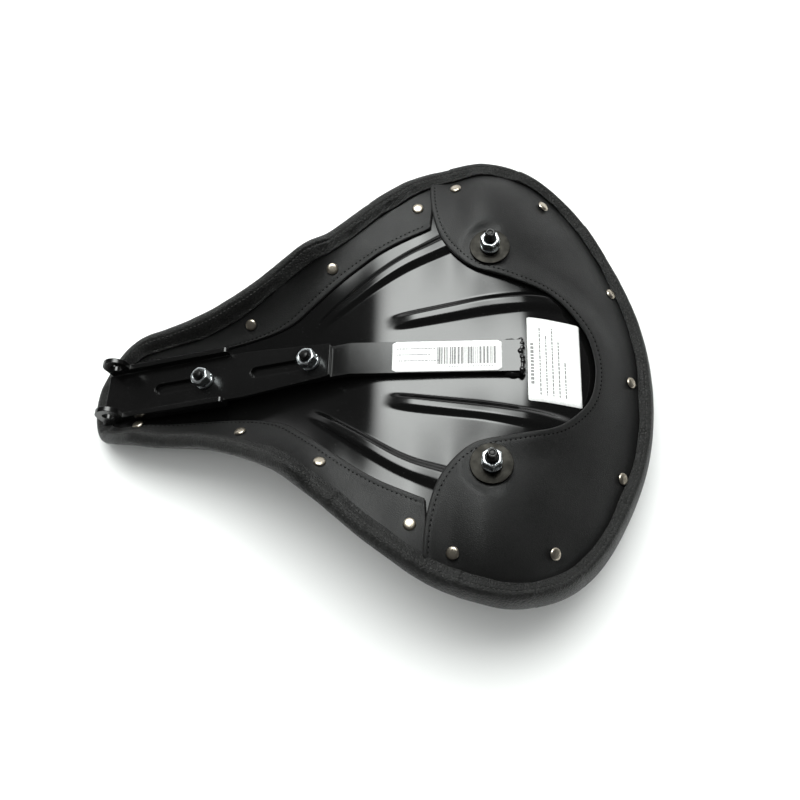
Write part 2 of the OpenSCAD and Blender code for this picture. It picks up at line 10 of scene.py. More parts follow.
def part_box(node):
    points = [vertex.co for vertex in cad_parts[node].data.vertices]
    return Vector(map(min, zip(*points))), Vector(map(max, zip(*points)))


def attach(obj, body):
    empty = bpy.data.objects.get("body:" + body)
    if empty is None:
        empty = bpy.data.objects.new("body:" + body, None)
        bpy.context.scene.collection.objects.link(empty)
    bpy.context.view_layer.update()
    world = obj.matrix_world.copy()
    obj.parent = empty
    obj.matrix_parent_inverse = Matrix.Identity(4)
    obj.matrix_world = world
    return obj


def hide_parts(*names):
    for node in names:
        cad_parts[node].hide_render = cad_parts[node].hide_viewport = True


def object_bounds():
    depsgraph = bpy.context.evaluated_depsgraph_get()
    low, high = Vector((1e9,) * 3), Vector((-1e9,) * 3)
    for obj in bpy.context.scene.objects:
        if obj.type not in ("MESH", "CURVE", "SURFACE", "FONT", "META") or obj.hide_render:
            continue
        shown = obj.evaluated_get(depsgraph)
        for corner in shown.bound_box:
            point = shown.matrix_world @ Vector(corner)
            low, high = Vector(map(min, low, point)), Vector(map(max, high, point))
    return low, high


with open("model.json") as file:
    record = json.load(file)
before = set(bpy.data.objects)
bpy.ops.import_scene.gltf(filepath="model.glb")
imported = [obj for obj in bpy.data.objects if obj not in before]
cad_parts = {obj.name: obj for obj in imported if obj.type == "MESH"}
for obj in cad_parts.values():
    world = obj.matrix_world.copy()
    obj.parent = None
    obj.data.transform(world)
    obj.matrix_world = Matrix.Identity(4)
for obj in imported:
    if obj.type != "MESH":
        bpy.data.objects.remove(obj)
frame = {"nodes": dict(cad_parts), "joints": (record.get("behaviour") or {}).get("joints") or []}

# Looks of a sprung solo motorcycle seat that lies on its cushion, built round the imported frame.
# Lengths are in millimetres and become metres where a mesh is made. X runs to the tail, Y across,
# Z out of the pan's underside.

CAD_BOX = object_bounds()
MM = 0.001


# ---------------------------------------------------------------- frame

def box_mm(node):
    """Lowest and highest corner of a CAD node."""
    low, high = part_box(node)
    return np.array(low) / MM, np.array(high) / MM


HEM_LOW, HEM_HIGH = box_mm("edge_hem")
NOSE_X, TAIL_X = HEM_LOW[0], HEM_HIGH[0]
LENGTH = TAIL_X - NOSE_X
HALF_W = HEM_HIGH[1] * 1.0024
REST_Z = CAD_BOX[0][2] / MM
SLIDE = next(j for j in frame["joints"] if j["type"] == "slide")
SLOPE = math.atan2(SLIDE["axis"][2], SLIDE["axis"][0])
STRAP_LOW, STRAP_HIGH = box_mm("centre_strap")
STRAP_FRONT, WELD_X, STRAP_W = STRAP_LOW[0], STRAP_HIGH[0], STRAP_HIGH[1] - STRAP_LOW[1]
STUD_LOW, STUD_HIGH = box_mm("rear_stud_left")
STUD_X, STUD_Y = (STUD_LOW[0] + STUD_HIGH[0]) / 2, (STUD_LOW[1] + STUD_HIGH[1]) / 2

# Thicknesses and gaps of the design
PAN_T, LEATHER_T, PAD_T, STRAP_T, PLATE_T = 2.0, 1.8, 38.0, 4.8, 3.2
HINGE_LIFT, SLIDE_GAP, REST_GAP, PANEL_GAP = 11.3, 0.3, 0.1, 0.6
PAN_INSET, PANEL_INSET, HEM_W = 8.0, 9.0, 16.0
STRAP_BEND, STRAP_SLOPE = 192.0, math.radians(2)
HEAD_ROOM, STRAP_GAP = 6.8, 1.2
BOLT_R, NUT_AF, NUT_H, LOCK_R, LOCK_T = 4.0, 13.0, 7.6, 7.2, 2.4
FORE_BOLT, AFT_BOLT = 78.0, 168.0
THREAD_PITCH = 1.25

# Plan outline of half the seat and the panels' free edges, as fractions of its length and half width
OUTLINE = [(0, 0), (0.0125, 0.145), (0.055, 0.228), (0.134, 0.281), (0.239, 0.337), (0.339, 0.446),
           (0.435, 0.604), (0.528, 0.791), (0.622, 0.933), (0.729, 1), (0.818, 0.948),
           (0.888, 0.805), (0.945, 0.574), (0.986, 0.305), (1, 0)]
PANEL_EDGE = [(0.892, 0), (0.882, 0.134), (0.854, 0.234), (0.8155, 0.306), (0.754, 0.354),
              (0.6925, 0.396), (0.656, 0.468), (0.631, 0.568), (0.617, 0.702), (0.613, 0.84)]
SIDE_EDGE = [(0.052, 0.153), (0.185, 0.162), (0.298, 0.187), (0.367, 0.226), (0.412, 0.298),
             (0.481, 0.432), (0.538, 0.527), (0.6145, 0.615)]
REAR_RIVETS = [(0.659, 0.822), (0.811, 0.792), (0.929, 0.43)]
TAIL_RIVET = (0.954, 0)
STRIP_RIVETS = [(0.299, 0.26), (0.444, 0.451), (0.592, 0.717)]
NOSE_RIVET = (0.102, 0.159)
PANEL_START, SIDE_START, SIDE_END = 0.582, 0.12, 0.566

# Bow of the pan across the seat, and heights and widths round the outline from nose to tail
BOW_SQUARE = [(0, 60), (0.05, 60), (0.1, 190), (0.183, 115), (0.296, 49), (0.395, 22), (0.44, 33),
              (0.5, 16), (0.59, 26), (0.65, 46), (0.71, 62), (0.8, 8), (0.88, -23), (0.92, -43), (1, -59)]
BOW_FOURTH = [(0, 400), (0.05, 600), (0.1, 1610), (0.183, 1610), (0.296, 1288), (0.395, 569),
              (0.44, 139), (0.5, 18), (0.59, -27), (0.65, -61), (0.71, -77), (0.8, -35), (0.88, -23),
              (0.92, -6), (1, 0)]
ROLL_H = [(0, 1.5), (0.04, 0), (0.07, -1.5), (0.1, 3), (0.14, 8.5), (0.18, 12), (0.21, 13), (0.25, 15.5),
          (0.29, 16.5), (0.33, 14), (0.36, 12), (0.4, 9.5), (0.5, 8.7), (0.6, 6), (0.7, 5), (1, 5)]
WIDE_H = [(0, -9), (0.07, -8), (0.14, 2.5), (0.21, 6), (0.25, 10.5), (0.29, 12), (0.33, 9.5), (0.36, 7),
          (0.4, 4), (0.5, 2), (0.57, -4), (0.64, -10), (0.8, -15), (1, -13)]
HEM_SHARE = [(0, 1), (0.1, 0.85), (0.2, 0.97), (0.5, 0.95), (0.65, 0.88), (0.75, 0.76), (0.9, 0.74),
             (1, 0.8)]
EDGE_R = [(0, 24), (0.14, 34), (0.3, 42), (0.5, 48), (0.8, 42), (1, 30)]
PAD_EXTRA = [(0, -8), (0.3, -2), (0.6, 0), (0.8, 4), (1, 12)]


# ---------------------------------------------------------------- curves and the pan's surface

def smooth(t):
    t = np.clip(t, 0, 1)
    return t * t * (3 - 2 * t)


def hermite(a, b, ma, mb, t):
    ends = a * (1 + 2 * t) * (1 - t) ** 2 + b * t * t * (3 - 2 * t)
    return ends + ma * t * (1 - t) ** 2 - mb * t * t * (1 - t)


def curve(points, x):
    """Smooth curve through control points (x, value)."""
    p = np.array(points, float)
    x = np.asarray(x, float)
    i = np.clip(np.searchsorted(p[:, 0], x, side="right") - 1, 0, len(p) - 2)
    low, high = np.maximum(np.arange(len(p)) - 1, 0), np.minimum(np.arange(len(p)) + 1, len(p) - 1)
    grade = (p[high, 1] - p[low, 1]) / (p[high, 0] - p[low, 0])
    h = p[i + 1, 0] - p[i, 0]
    return hermite(p[i, 1], p[i + 1, 1], grade[i] * h, grade[i + 1] * h, np.clip((x - p[i, 0]) / h, 0, 1))


def path(points, t, before, after):
    """Smooth path through plan points, t from 0 to 1, with end tangents."""
    p = np.array(points, float)
    t = np.atleast_1d(np.asarray(t, float))
    n = len(p) - 1
    slope = np.vstack([[before], (p[2:] - p[:-2]) / 2, [after]])
    i = np.clip(np.floor(t * n).astype(int), 0, n - 1)
    u = (t * n - i)[:, None]
    return hermite(p[i], p[i + 1], slope[i], slope[i + 1], u)


def place(q, side):
    """Plan position from fractions of the length and the half width."""
    q = np.atleast_2d(np.asarray(q, float))
    return np.column_stack([NOSE_X + q[:, 0] * LENGTH, side * q[:, 1] * HALF_W])


def outline(t, side):
    return place(path(OUTLINE, t, (0, OUTLINE[1][1]), (0, -OUTLINE[13][1])), side)


def unit(v):
    return v / np.linalg.norm(v, axis=1, keepdims=True)


def middle(q):
    return np.column_stack([NOSE_X + 48 + (q[:, 0] - NOSE_X) / LENGTH * (LENGTH - 178), q[:, 1] * 0])


def square_in(t, side):
    t, side = np.broadcast_arrays(np.atleast_1d(t).astype(float), side)
    e = 0.01
    d = outline(np.minimum(t + e, 1), side) - outline(np.maximum(t - e, 0), side)
    n = unit(np.column_stack([d[:, 1], -d[:, 0]])) * side[:, None]
    share = smooth(np.minimum(t, 1 - t) / e)[:, None]
    ends = np.column_stack([np.where(t < 0.5, 1.0, -1.0), t * 0])
    return unit(ends * (1 - share) + n * share)


def inset(t, side, d):
    """Plan point d inside the outline, square to it where shallow and towards the middle where deep."""
    q = outline(t, side)
    d = np.broadcast_to(np.asarray(d, float), (len(q),))[:, None]
    turn = smooth((d - 16) / 26)
    away = unit(square_in(t, side) * (1 - turn) + unit(middle(q) - q) * turn)
    return q + d * away


def toward(t, side, d, s):
    q = inset(t, side, d)
    return q + s * (middle(outline(t, side)) - q)


def slope_z(x, h):
    return x * math.tan(SLOPE) + h / math.cos(SLOPE)


STRAP_H = -HINGE_LIFT - PLATE_T - SLIDE_GAP


def strap_top(x):
    return np.where(x < STRAP_BEND, slope_z(x, STRAP_H),
                    slope_z(STRAP_BEND, STRAP_H) + (x - STRAP_BEND) * math.tan(STRAP_SLOPE))


def strap_base(x):
    return strap_top(x) - STRAP_T / np.cos(np.where(x < STRAP_BEND, SLOPE, STRAP_SLOPE))


TAIL_Z = float(strap_base(WELD_X)) - STRAP_GAP
MIDDLE = [(NOSE_X, strap_base(STRAP_FRONT) - 16), (0, strap_base(STRAP_FRONT) - 8.5),
          (STRAP_FRONT, strap_base(STRAP_FRONT) - REST_GAP),
          (STRAP_FRONT + 23, strap_base(STRAP_FRONT + 23) - 5), (70, strap_base(70) - HEAD_ROOM),
          (168, strap_base(168) - HEAD_ROOM), (STRAP_BEND + 13, strap_base(STRAP_BEND + 13) - STRAP_GAP - 2),
          (STRAP_BEND + 38, strap_base(STRAP_BEND + 38) - STRAP_GAP), (WELD_X, TAIL_Z),
          (TAIL_X - 81, TAIL_Z - 4), (TAIL_X - 49, TAIL_Z - 19), (TAIL_X - 20, TAIL_Z - 41),
          (TAIL_X, TAIL_Z - 61)]


def pan_z(q):
    """Height of the pan's upper face without its ribs."""
    u, v = (q[:, 0] - NOSE_X) / LENGTH, q[:, 1] / HALF_W
    return curve(MIDDLE, q[:, 0]) + curve(BOW_SQUARE, u) * v ** 2 + curve(BOW_FOURTH, u) * v ** 4


def on_pan(q, h):
    return np.column_stack([q, pan_z(q) + h])


def hem_width(t):
    return HEM_W * curve(HEM_SHARE, t)


def edge_z(t):
    return pan_z(inset(t, 1, hem_width(t)))


def wide_z(t):
    return edge_z(t) + curve(WIDE_H, t)


def base_z(q):
    pad = PAD_T + curve(PAD_EXTRA, (q[:, 0] - NOSE_X) / LENGTH)
    return np.maximum(pan_z(q) - pad, REST_Z)


def side_tuck(a):
    """Share of the edge radius by which the side has turned in at an angle down from its widest."""
    return 0.6 * a / (math.pi / 2) + 0.4 * (1 - math.cos(a))


def stations(n):
    """Places round the whole outline, from the nose along +Y to the tail and back."""
    half = np.arange(n + 1) / n
    t = np.concatenate([half, half[-2:0:-1]])
    return t, np.concatenate([np.ones(n + 1), -np.ones(n - 1)])


# ---------------------------------------------------------------- meshes

def linked(name, data):
    obj = bpy.data.objects.new(name, data)
    bpy.context.scene.collection.objects.link(obj)
    return obj


def shade_smooth(obj):
    for polygon in obj.data.polygons:
        polygon.use_smooth = True


def mesh_object(name, points, faces, material, slot, body="root", stands_for=()):
    """A piece from points in millimetres."""
    mesh = bpy.data.meshes.new(name)
    mesh.from_pydata((np.asarray(points, float) * MM).tolist(), [], [tuple(int(k) for k in f) for f in faces])
    obj = linked(name, mesh)
    work = bmesh.new()
    work.from_mesh(mesh)
    bmesh.ops.remove_doubles(work, verts=work.verts, dist=0.004 * MM)
    bmesh.ops.recalc_face_normals(work, faces=work.faces)
    work.to_mesh(mesh)
    work.free()
    shade_smooth(obj)
    return finish_piece(obj, material, body, stands_for)


def finish_piece(obj, material, body="root", stands_for=()):
    obj.data.materials.clear()
    obj.data.materials.append(material)
    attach(obj, body)
    if stands_for:
        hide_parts(*stands_for)
    return obj


def grid_faces(rows, columns, ring=True, closed=False):
    """Quads between rows of points; ring joins each row's ends and closed joins the last row to the first."""
    faces = []
    for i in range(rows if closed else rows - 1):
        k = (i + 1) % rows
        for j in range(columns if ring else columns - 1):
            m = (j + 1) % columns
            faces.append((i * columns + j, i * columns + m, k * columns + m, k * columns + j))
    return faces


def skin(loops, **words):
    return np.vstack(loops), grid_faces(len(loops), len(loops[0]), **words)


def capped(loops):
    """Skin with a face over its first and its last loop."""
    points, faces = skin(loops)
    sides = len(loops[0])
    return points, faces + [tuple(range(sides))[::-1], tuple(range(len(points) - sides, len(points)))]


def round_angles(sides):
    return np.arange(sides) / sides * 2 * math.pi


def level_ring(radius, angle, z):
    return np.column_stack([radius * np.cos(angle), radius * np.sin(angle), np.full(len(angle), z)])


def merge(parts):
    """Joins lists of (points, faces)."""
    points, faces, base = [], [], 0
    for p, f in parts:
        points.append(np.asarray(p, float))
        faces += [tuple(k + base for k in face) for face in f]
        base += len(p)
    return np.vstack(points), faces


def turned(profile, sides=40, cap=True):
    """Solid of revolution about Z from (radius, height) points; a radius of 0 is the axis."""
    loops = [level_ring(r, round_angles(sides), z) for r, z in profile]
    return capped(loops) if cap else skin(loops, closed=True)


def arc_profile(cx, cz, r, start, end, steps=5):
    """Points of an arc in a (radius, height) profile, angles in degrees."""
    a = np.radians(np.linspace(start, end, steps))
    return [(cx + r * math.cos(k), cz + r * math.sin(k)) for k in a]


def moved(part, matrix):
    points, faces = part
    m = np.array(matrix)
    return points @ m[:3, :3].T + m[:3, 3], faces


def ripple(x, y, waves):
    """Sum of slanted waves (length, tilt, height, phase)."""
    total = np.zeros(np.broadcast(x, y).shape)
    for length, tilt, height, phase in waves:
        total = total + height * np.sin(2 * math.pi * (x / length + tilt * y) + phase)
    return total


# ---------------------------------------------------------------- materials

def new_material(name, **sockets):
    """A Principled material; constants go straight on the shader's sockets."""
    material = bpy.data.materials.new(name)
    material.use_nodes = True
    shader = material.node_tree.nodes["Principled BSDF"]
    for key, value in sockets.items():
        shader.inputs[key.replace("_", " ")].default_value = value
    return material, material.node_tree, shader


def node(tree, kind, inputs=(), **settings):
    made = tree.nodes.new(kind)
    for key, value in settings.items():
        setattr(made, key, value)
    for key, value in dict(inputs).items():
        if isinstance(value, bpy.types.NodeSocket):
            tree.links.new(value, made.inputs[key])
        else:
            made.inputs[key].default_value = value
    return made


def texture(tree, kind, scale, **words):
    """A noise or Voronoi texture in the piece's own space, in metres."""
    space = node(tree, "ShaderNodeTexCoord")
    inputs = {"Vector": space.outputs["Object"], "Scale": scale}
    inputs.update(words.pop("inputs", {}))
    return node(tree, kind, inputs, **words)


def ramp(tree, value, low, high, start=0.0, end=1.0):
    made = node(tree, "ShaderNodeValToRGB", {"Fac": value})
    first, last = made.color_ramp.elements
    first.position, last.position = start, end
    first.color = low if isinstance(low, tuple) else (low, low, low, 1)
    last.color = high if isinstance(high, tuple) else (high, high, high, 1)
    return made.outputs["Color"]


def mix(tree, share, a, b):
    return node(tree, "ShaderNodeMix", {0: share, 6: a, 7: b}, data_type="RGBA").outputs[2]


def add_bump(tree, shader, heights):
    """Chains bumps given as (height socket, strength, distance in metres)."""
    last = None
    for height, strength, distance in heights:
        inputs = {"Height": height, "Strength": strength, "Distance": distance}
        if last is not None:
            inputs["Normal"] = last
        last = node(tree, "ShaderNodeBump", inputs).outputs["Normal"]
    tree.links.new(last, shader.inputs["Normal"])


def grey(value, tint=(1.0, 1.0, 1.0)):
    return (value * tint[0], value * tint[1], value * tint[2], 1)


def paint(tree, shader, colour, roughness=None):
    """Links a colour and a roughness to the shader."""
    tree.links.new(colour, shader.inputs["Base Color"])
    if roughness is not None:
        tree.links.new(roughness, shader.inputs["Roughness"])


def noise(tree, scale, detail, **inputs):
    return texture(tree, "ShaderNodeTexNoise", scale, inputs={"Detail": detail, **inputs}).outputs["Fac"]


def leather_material(name, dark, light, grain, depth, rough_low, rough_high, crease=0.0):
    """Leather: pebbled grain, fine pores, cloudy tone and a little wear on the high grain."""
    material, tree, shader = new_material(name, Specular_IOR_Level=0.4, Sheen_Weight=0.03,
                                          Sheen_Roughness=0.45)
    warp = noise(tree, 70, 3)
    pebble = texture(tree, "ShaderNodeTexVoronoi", grain, feature="DISTANCE_TO_EDGE")
    cloud = noise(tree, 26, 4, Roughness=0.6)
    pore = noise(tree, grain * 3.2, 4, Roughness=0.7)
    high = ramp(tree, pebble.outputs["Distance"], 0.0, 1.0, 0.0, 0.28)
    tone = mix(tree, ramp(tree, cloud, 0.0, 1.0, 0.35, 0.7), dark, light)
    worn = mix(tree, ramp(tree, warp, 0.0, 0.55, 0.55, 0.8), tone, grey(light[0] * 1.7))
    base = mix(tree, high, grey(dark[0] * 0.55, (1.0, 1.0, 0.98)), worn)
    paint(tree, shader, base, ramp(tree, cloud, rough_low, rough_high, 0.3, 0.7))
    heights = [(high, 0.5, depth), (pore, 0.45, depth * 0.6)]
    if crease:
        heights.append((noise(tree, 55, 5, Distortion=1.2), 0.5, crease))
    add_bump(tree, shader, heights)
    return material


def enamel_material(name, colour, rough_low, rough_high, peel, coat=0.0):
    """Black stoving enamel: orange peel, faint dust and uneven gloss."""
    material, tree, shader = new_material(name, Specular_IOR_Level=0.5, Coat_Weight=coat,
                                          Coat_Roughness=0.04)
    speck = ramp(tree, noise(tree, 900, 2), 0.0, 1.0, 0.72, 0.8)
    smear = noise(tree, 18, 4, Roughness=0.6)
    paint(tree, shader, mix(tree, speck, colour, grey(0.06)),
          ramp(tree, smear, rough_low, rough_high, 0.35, 0.75))
    add_bump(tree, shader, [(noise(tree, 120, 2), peel, 0.0004)])
    return material


BLOTCH_SCALE, SCRATCH = 160, 0.25


def metal_material(name, colour, second, rough_low, rough_high):
    """Plated or bare metal with blotches of a second tone and fine scratches."""
    material, tree, shader = new_material(name, Metallic=1.0)
    blotch = noise(tree, BLOTCH_SCALE, 4, Roughness=0.6)
    paint(tree, shader, mix(tree, ramp(tree, blotch, 0.0, 1.0, 0.38, 0.66), colour, second),
          ramp(tree, blotch, rough_low, rough_high, 0.3, 0.7))
    add_bump(tree, shader, [(noise(tree, 1500, 3), SCRATCH, 0.00012)])
    return material


def paper_material(name):
    material, tree, shader = new_material(name, Roughness=0.75, Specular_IOR_Level=0.3)
    fibre = noise(tree, 700, 4)
    paint(tree, shader, ramp(tree, fibre, grey(0.74, (1.0, 1.0, 0.985)), grey(0.86), 0.35, 0.65))
    add_bump(tree, shader, [(fibre, 0.15, 0.0001)])
    return material


def ink_material(name, value, faded):
    material, tree, shader = new_material(name, Roughness=0.7, Specular_IOR_Level=0.2)
    paint(tree, shader, ramp(tree, noise(tree, 1800, 3), grey(value), grey(faded), 0.4, 0.7))
    return material


def thread_material(name, dark, light):
    material, tree, shader = new_material(name, Roughness=0.8, Specular_IOR_Level=0.15)
    ply = texture(tree, "ShaderNodeTexWave", 500, wave_type="BANDS", bands_direction="DIAGONAL",
                  inputs={"Distortion": 1.5})
    paint(tree, shader, ramp(tree, ply.outputs["Fac"], dark, light))
    add_bump(tree, shader, [(ply.outputs["Fac"], 0.5, 0.0002)])
    return material


COVER_LEATHER = leather_material("cover_leather", grey(0.0035), grey(0.008), 560, 0.0004, 0.46, 0.62, 0.0014)
HEM_LEATHER = leather_material("hem_leather", grey(0.003, (1, 1, 0.9)), grey(0.0075, (1, 1, 0.9)),
                               470, 0.0007, 0.5, 0.66, 0.0012)
PANEL_LEATHER = leather_material("panel_leather", grey(0.0035), grey(0.0055), 800, 0.00014, 0.46, 0.58)
PAN_ENAMEL = enamel_material("pan_enamel", grey(0.0025), 0.14, 0.2, 0.04)
STRAP_ENAMEL = enamel_material("strap_enamel", grey(0.003), 0.14, 0.22, 0.06)
BRACKET_ENAMEL = enamel_material("bracket_enamel", grey(0.002), 0.2, 0.28, 0.1)
WELD_ENAMEL = enamel_material("weld_enamel", grey(0.003), 0.1, 0.2, 0.3)
NICKEL = metal_material("rivet_nickel", grey(0.6, (1, 0.91, 0.76)), grey(0.42, (1, 0.9, 0.73)), 0.26, 0.42)
ZINC = metal_material("zinc", grey(0.85, (0.94, 1.0, 1.02)), grey(0.62, (0.95, 1.0, 1.02)), 0.24, 0.36)
WASHER_STEEL = metal_material("washer_steel", grey(0.022, (1, 0.95, 0.84)), grey(0.013, (1, 0.95, 0.84)),
                              0.36, 0.48)
DARK_STEEL = metal_material("stud_steel", grey(0.02), grey(0.035), 0.3, 0.45)
BRIGHT_STEEL = metal_material("stud_tip", grey(0.14), grey(0.08), 0.25, 0.4)
LABEL_PAPER = paper_material("label_paper")
TAG_PAPER = paper_material("tag_paper")
INK = ink_material("print_grey", 0.16, 0.34)
DARK_THREAD = thread_material("dark_thread", grey(0.0008), grey(0.002))
HEM_THREAD = thread_material("hem_thread", grey(0.025), grey(0.055, (1, 1, 0.96)))
FLOOR_PAINT, _floor_tree, _floor_shader = new_material("floor_paper", Roughness=0.95)
_floor_tree.links.new(ramp(_floor_tree, texture(_floor_tree, "ShaderNodeTexNoise", 3).outputs["Fac"],
                           0.86, 0.88), _floor_shader.inputs["Base Color"])


# ---------------------------------------------------------------- pan

RIB_HEIGHT = 3.2
RIB_FLAT = 0.3
# Pressed ribs: plan points on the left half, then half width at the front and the rear
OUTER_RIB = [(160, 33), (187, 53), (226, 80), (256, 94), (284, 104)]
INNER_RIB = [(216, 31), (258, 38), (316, 47), (360, 52)]


def rib_height(q, route, width_front, width_rear):
    """Height of one pair of ribs over the pan: rounded ridges that fade in and out."""
    line = path(route, np.linspace(0, 1, 500), np.subtract(route[1], route[0]),
                np.subtract(route[-1], route[-2]))
    point = np.column_stack([q[:, 0], np.abs(q[:, 1])])
    away, along = np.full((len(q), 1), 99.0), np.zeros(len(q))
    near = (point > line.min(axis=0) - 15).all(axis=1) & (point < line.max(axis=0) + 15).all(axis=1)
    reach = np.linalg.norm(point[near][:, None, :] - line[None, :, :], axis=2)
    away[near], along[near] = reach.min(axis=1, keepdims=True), reach.argmin(axis=1) / (len(line) - 1)
    width = width_front + (width_rear - width_front) * along
    bump = smooth((1 - away.min(axis=1) / width) / (1 - RIB_FLAT))
    return RIB_HEIGHT * bump * smooth(along * 5) * smooth((1 - along) * 5)


def pan_height(q):
    return pan_z(q) + rib_height(q, OUTER_RIB, 5, 11) + rib_height(q, INNER_RIB, 7, 9)


def seat_pan():
    t, side = stations(300)
    shares = np.concatenate([[0], np.linspace(0.006, 1, 150)])
    plans = [toward(t, side, PAN_INSET, s) for s in shares]
    top = [np.column_stack([q, pan_height(q)]) for q in plans]
    bottom = [loop - [0, 0, PAN_T] for loop in top[::-10]] + [top[0] - [0, 0, PAN_T]]
    return mesh_object("pressed_pan", *skin(top[::-1] + bottom[::-1]), PAN_ENAMEL, "pan_enamel",
                       stands_for=["seat_pan"])


# ---------------------------------------------------------------- cushion

SWELL_ROOM = 3.5
SWELL_CAP = 0.006
FLAT_TOP_GAP = 1.0


def cushion_loops():
    """Closed form under the pan and hem: top inside the hem, round lower edge, flat where it rests."""
    t, side = stations(90)
    loops = []
    for s in np.linspace(1, 0, 12):
        q = toward(t, side, PAN_INSET, s)
        loops.append(np.column_stack([q, pan_z(q) - PAN_T - FLAT_TOP_GAP]))
    wide = wide_z(t)
    radius = curve(EDGE_R, t)
    foot = inset(t, side, radius)
    for degrees in range(0, 91, 10):
        a = math.radians(degrees)
        tuck = side_tuck(a)
        q = inset(t, side, SWELL_ROOM * math.cos(a) + (radius - SWELL_ROOM) * tuck)
        z = wide + (base_z(foot) - wide) * math.sin(a) + (base_z(q) - base_z(foot)) * math.sin(a) ** 8
        loops.append(np.column_stack([q, z + 1.5 * math.sin(a)]))
    for s in np.linspace(0.08, 1, 12):
        q = toward(t, side, radius, s)
        loops.append(np.column_stack([q, base_z(q) + 1.5]))
    return skin(loops)


def vertices(obj):
    return np.array([v.co for v in obj.data.vertices])


def inflate(obj):
    """Cloth under pressure, with its top face held and its travel capped."""
    apply_modifier(obj, modify(obj, "even", "REMESH", mode="VOXEL", voxel_size=0.0055))
    start = vertices(obj)
    q = start[:, :2] / MM
    held = start[:, 2] / MM > pan_z(q) - PAN_T - 7
    group = obj.vertex_groups.new(name="held")
    group.add([int(k) for k in np.nonzero(held)[0]], 1.0, "REPLACE")
    cloth = obj.modifiers.new("swell", "CLOTH")
    fabric = cloth.settings
    fabric.vertex_group_mass = "held"
    fabric.use_pressure = True
    fabric.uniform_pressure_force = 4
    fabric.effector_weights.gravity = 0
    fabric.tension_stiffness = fabric.compression_stiffness = 12
    for number in range(1, 21):
        bpy.context.scene.frame_set(number)
    apply_modifier(obj, cloth)
    bpy.context.scene.frame_set(1)
    shift = vertices(obj) - start
    length = np.linalg.norm(shift, axis=1, keepdims=True)
    return start + shift * np.minimum(1, SWELL_CAP / np.maximum(length, 1e-9))


def modify(obj, name, kind, **settings):
    made = obj.modifiers.new(name, kind)
    for key, value in settings.items():
        setattr(made, key, value)
    return made


def apply_modifier(obj, modifier):
    bpy.context.view_layer.objects.active = obj
    obj.select_set(True)
    bpy.ops.object.modifier_apply(modifier=modifier.name)
    obj.select_set(False)


def seat_cushion():
    points, faces = cushion_loops()
    obj = mesh_object("leather_cushion", points, faces, COVER_LEATHER, "cover_leather",
                      stands_for=["leather_cover", "foam_pad"])
    end = inflate(obj)
    end[:, 2] = np.maximum(end[:, 2], REST_Z * MM)
    obj.data.vertices.foreach_set("co", end.astype(np.float32).ravel())
    obj.data.update()
    shade_smooth(obj)
    modify(obj, "even", "SMOOTH", factor=0.5, iterations=4)
    modify(obj, "fine", "SUBSURF", levels=1, render_levels=1)
    return obj


# ---------------------------------------------------------------- hem

# Places round the outline where the hem is folded or pieced: (share of the way round, height)
PLEATS = [(0.22, 0.7), (0.279, 1.2), (0.326, 1.0), (0.38, 1.0), (0.527, 0.9), (0.584, 1.0),
          (0.638, 1.2), (0.671, 1.2), (0.715, 1.4), (0.799, 1.3)]
CREST_SHARE = 0.42
SEAM_SHARE = 0.31
SKIRT_DEGREES = 38
STITCH_PITCH = 3.6


def hem_rise(t):
    return LEATHER_T + 2 * REST_GAP + smooth((t - 0.08) / 0.04) * (LEATHER_T + PANEL_GAP)


def arc_length(q):
    step = np.linalg.norm(np.diff(np.vstack([q, q[:1]]), axis=0), axis=1)
    return np.concatenate([[0], np.cumsum(step)[:-1]]), step.sum()


def hem_face(t, side, lift):
    """Rows of the hem's outer face, from its sewn inner edge over the roll and down the side."""
    width = hem_width(t)
    crest = width * CREST_SHARE
    roll, wide, rise = curve(ROLL_H, t), curve(WIDE_H, t), hem_rise(t)
    edge = edge_z(t)
    rows = []
    for u in np.linspace(0, 1, 13)[:-1]:
        q = inset(t, side, width - (width - crest) * u)
        z = np.maximum(edge + rise + (roll - rise) * smooth(u), pan_z(q) + rise * (1 - 0.6 * u))
        rows.append(np.column_stack([q, z + lift]))
    top = np.maximum(edge + roll, rows[-1][:, 2] - lift)
    for a in np.radians(np.linspace(0, 90, 12)):
        q = inset(t, side, crest * (1 - math.sin(a)) - lift * math.sin(a))
        z = edge + wide + (top - edge - wide) * math.cos(a)
        rows.append(np.column_stack([q, z + lift * math.cos(a)]))
    radius = curve(EDGE_R, t)
    foot = inset(t, side, radius)
    for degrees in np.linspace(6, SKIRT_DEGREES, 6):
        a = math.radians(degrees)
        tuck = side_tuck(a)
        q = inset(t, side, radius * tuck - lift)
        z = edge + wide + (base_z(foot) - edge - wide) * math.sin(a)
        rows.append(np.column_stack([q, z]))
    return rows


